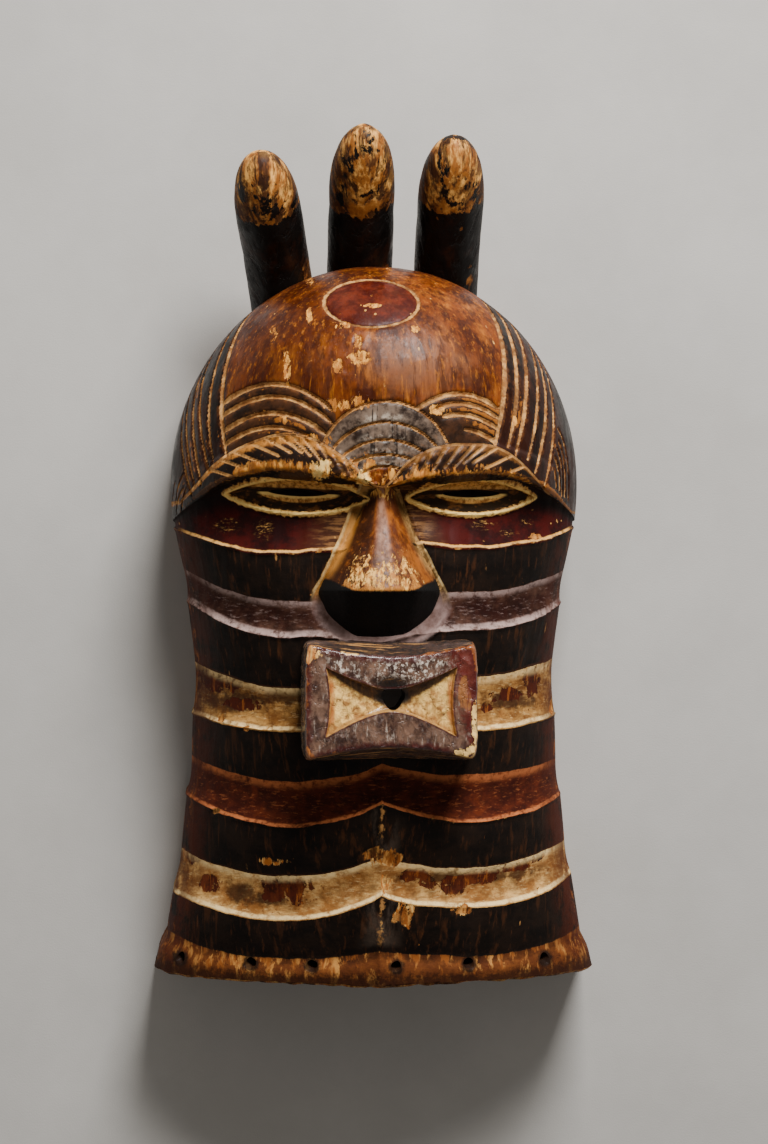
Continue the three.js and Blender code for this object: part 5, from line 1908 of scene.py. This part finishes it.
# what the block knows is carried over to the nearest point of the joined mask
tree = KDTree(len(known["points"]))
for index, point in enumerate(known["points"]):
    tree.insert(point, index)
tree.balance()
nearest = np.array([tree.find(point)[1] for point in places])
x, y, z = places.T
mouthX, mouthY = x - mouth["x"], y - mouth["y"]
values = {name: grid[nearest] for name, grid in known["values"].items()}
values["crest"] = np.clip(crest, -3, 3)
for name in ("rubbed", "lost", "stain", "specks", "pale", "sheenSpot"):
    values[name] = blobs(wear[name], x, y)
for name in ("mouthBare", "mouthTan"):
    values[name] = blobs(wear[name], mouthX, mouthY)
values["height"], values["rise"] = y, np.clip(z, 0, 40)
noseHalf = np.interp(-y, *np.transpose(nose["halfWidths"]))
values["noseAcross"] = np.clip((x - nose["tipX"] * 0.5) / noseHalf, -3, 3)
# the mouth: how far behind the front, inside the edge, outside the recess and from the hole
values["mouthX"], values["mouthY"], values["mouthBack"] = mouthX, mouthY, mouth["z"] - z
bow = mouth["pinch"] * (1 - np.clip(mouthX / mouth["halfWidth"], -1, 1) ** 2)
values["mouthEdge"] = np.minimum(mouth["halfWidth"] - np.abs(mouthX),
                                 mouth["halfHeight"] - bow - np.abs(mouthY))
values["recessOut"] = np.clip(outlineGap(recessOutline(0), x, y), -20, 20)
values["roll"] = 1 - ovalReach(mouth["roll"], mouthX, mouthY)
values["mouthHole"] = np.hypot(x - mouth["holeX"], y - mouth["holeY"])
out = unit(np.abs(mouthX) / mouth["recessHalfWidth"])
values["slope"] = mouthY - blend(mouth["waist"], mouth["recessHalfHeight"], out ** 2) + 10 * (1 - out)
# the horns: how far from the worn tip, and from the line along the horn
tipGaps, sideGaps = [], []
for shape, worn in zip(horns["shapes"], hornWorn):
    root, tip = shape["root"], shape["tip"]
    tipGaps.append(np.linalg.norm(places - tip, axis=1) / worn)
    sideGaps.append(np.abs(x - np.interp(y, [root[1], tip[1]], [root[0], tip[0]])) / horns["radius"])
values["hornTip"], values["hornSide"] = np.min(tipGaps, axis=0), np.min(sideGaps, axis=0)
holeGaps = [np.hypot(x - holeX, y - rimHoles["y"]) for holeX in rimHoles["places"]]
values["holeGap"] = np.min(holeGaps, axis=0) - rimHoles["radius"]
values["ring"] = np.clip(crownRingGap(x, y), -20, 20)
values["ringsGap"] = np.clip(ringsGap(x, y), -50, 50)
values["ringRow"], values["tick"], values["hatch"] = ringRow(x, y), tickGap(x, y), hatchGap(x, y)
values["browEdge"] = np.clip(y - browTopY(x), -15, 15)
values["browUp"] = np.clip(browPlace(x, y), -1, 3)
values["lid"] = np.clip(lidPlace(values["eyeAlong"], values["eyeAbove"]), -3, 3)
for name, data in values.items():
    joined.attributes.new(name, "FLOAT", "POINT").data.foreach_set("value", data.astype(np.float32))

# the underside of the rim is bare wood, and the dome has its own finish
slot = readAll(joined.polygons, "material_index", 1, np.int32)
middles = readAll(joined.polygons, "center", 3) / mm
facing = readAll(joined.polygons, "normal", 3)
starts = readAll(joined.polygons, "loop_start", 1, np.int32)
corners = readAll(joined.loops, "vertex_index", 1, np.int32)
faceBand = np.maximum.reduce([values["bandPos"][corners[starts + step]] for step in range(3)])
banded = slot == finishes.index("bandedFace")
slot[banded & (faceBand <= 1e-6)] = finishes.index("domeVarnish")
slot[banded & (middles[:, 2] < 1) & (facing[:, 2] < -0.5)] = finishes.index("hollowWood")
joined.polygons.foreach_set("material_index", slot)
joined.polygons.foreach_set("use_smooth", np.ones(len(joined.polygons), bool))
joined.set_sharp_from_angle(angle=math.radians(joining["sharpDegrees"]))
print("faces by finish", np.bincount(slot))

low, high = (np.array(corner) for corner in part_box("mask"))
places = places * mm
places[:, 1] += low[1] - form["lowestY"] * mm
places = np.clip(places, low, high)
joined.vertices.foreach_set("co", places.ravel())
joined.update()
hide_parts("mask")
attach(mask, "root")

# Studio

studio = {
    "floorHalf": 3, "sky": (1, 0.97, 0.93, 1), "skyStrength": 0.26,
    "light": {"at": (0.4, 1.5, 1.3), "aim": (0, 0, 0.1), "size": 0.75, "power": 84},
    # the camera looks down from 3 degrees left of straight above the face
    "lens": 95.15, "cameraX": -0.0954, "cameraHeight": 2, "aimX": 0.0057, "aimHeight": 0.07,
}
half = studio["floorHalf"]
floorMesh = bpy.data.meshes.new("floor")
floorMesh.from_pydata([(-half, -half, 0), (half, -half, 0), (half, half, 0), (-half, half, 0)], [],
                      [(0, 1, 2, 3)])
floor = addObject("floor", floorMesh)
floorMesh.materials.append(finishFloor())

world = bpy.data.worlds.new("studio")
world.use_nodes = True
background = world.node_tree.nodes["Background"].inputs
background["Color"].default_value = studio["sky"]
background["Strength"].default_value = studio["skyStrength"]
bpy.context.scene.world = world

lamp = studio["light"]
lightData = bpy.data.lights.new("keyLight", "AREA")
lightData.size, lightData.energy = lamp["size"], lamp["power"]
light = addObject("keyLight", lightData)
light.location = lamp["at"]
light.rotation_euler = (Vector(lamp["aim"]) - Vector(lamp["at"])).to_track_quat("-Z", "Y").to_euler()

cameraData = bpy.data.cameras.new("photoView")
cameraData.lens = studio["lens"]
camera = addObject("photoView", cameraData)
camera.location = (studio["cameraX"], low[1] - form["lowestY"] * mm, studio["cameraHeight"])
slant = math.atan2(studio["cameraX"] - studio["aimX"], studio["cameraHeight"] - studio["aimHeight"])
camera.rotation_euler = (0, slant, 0)
bpy.context.scene.camera = camera
print("floor, light and camera placed")
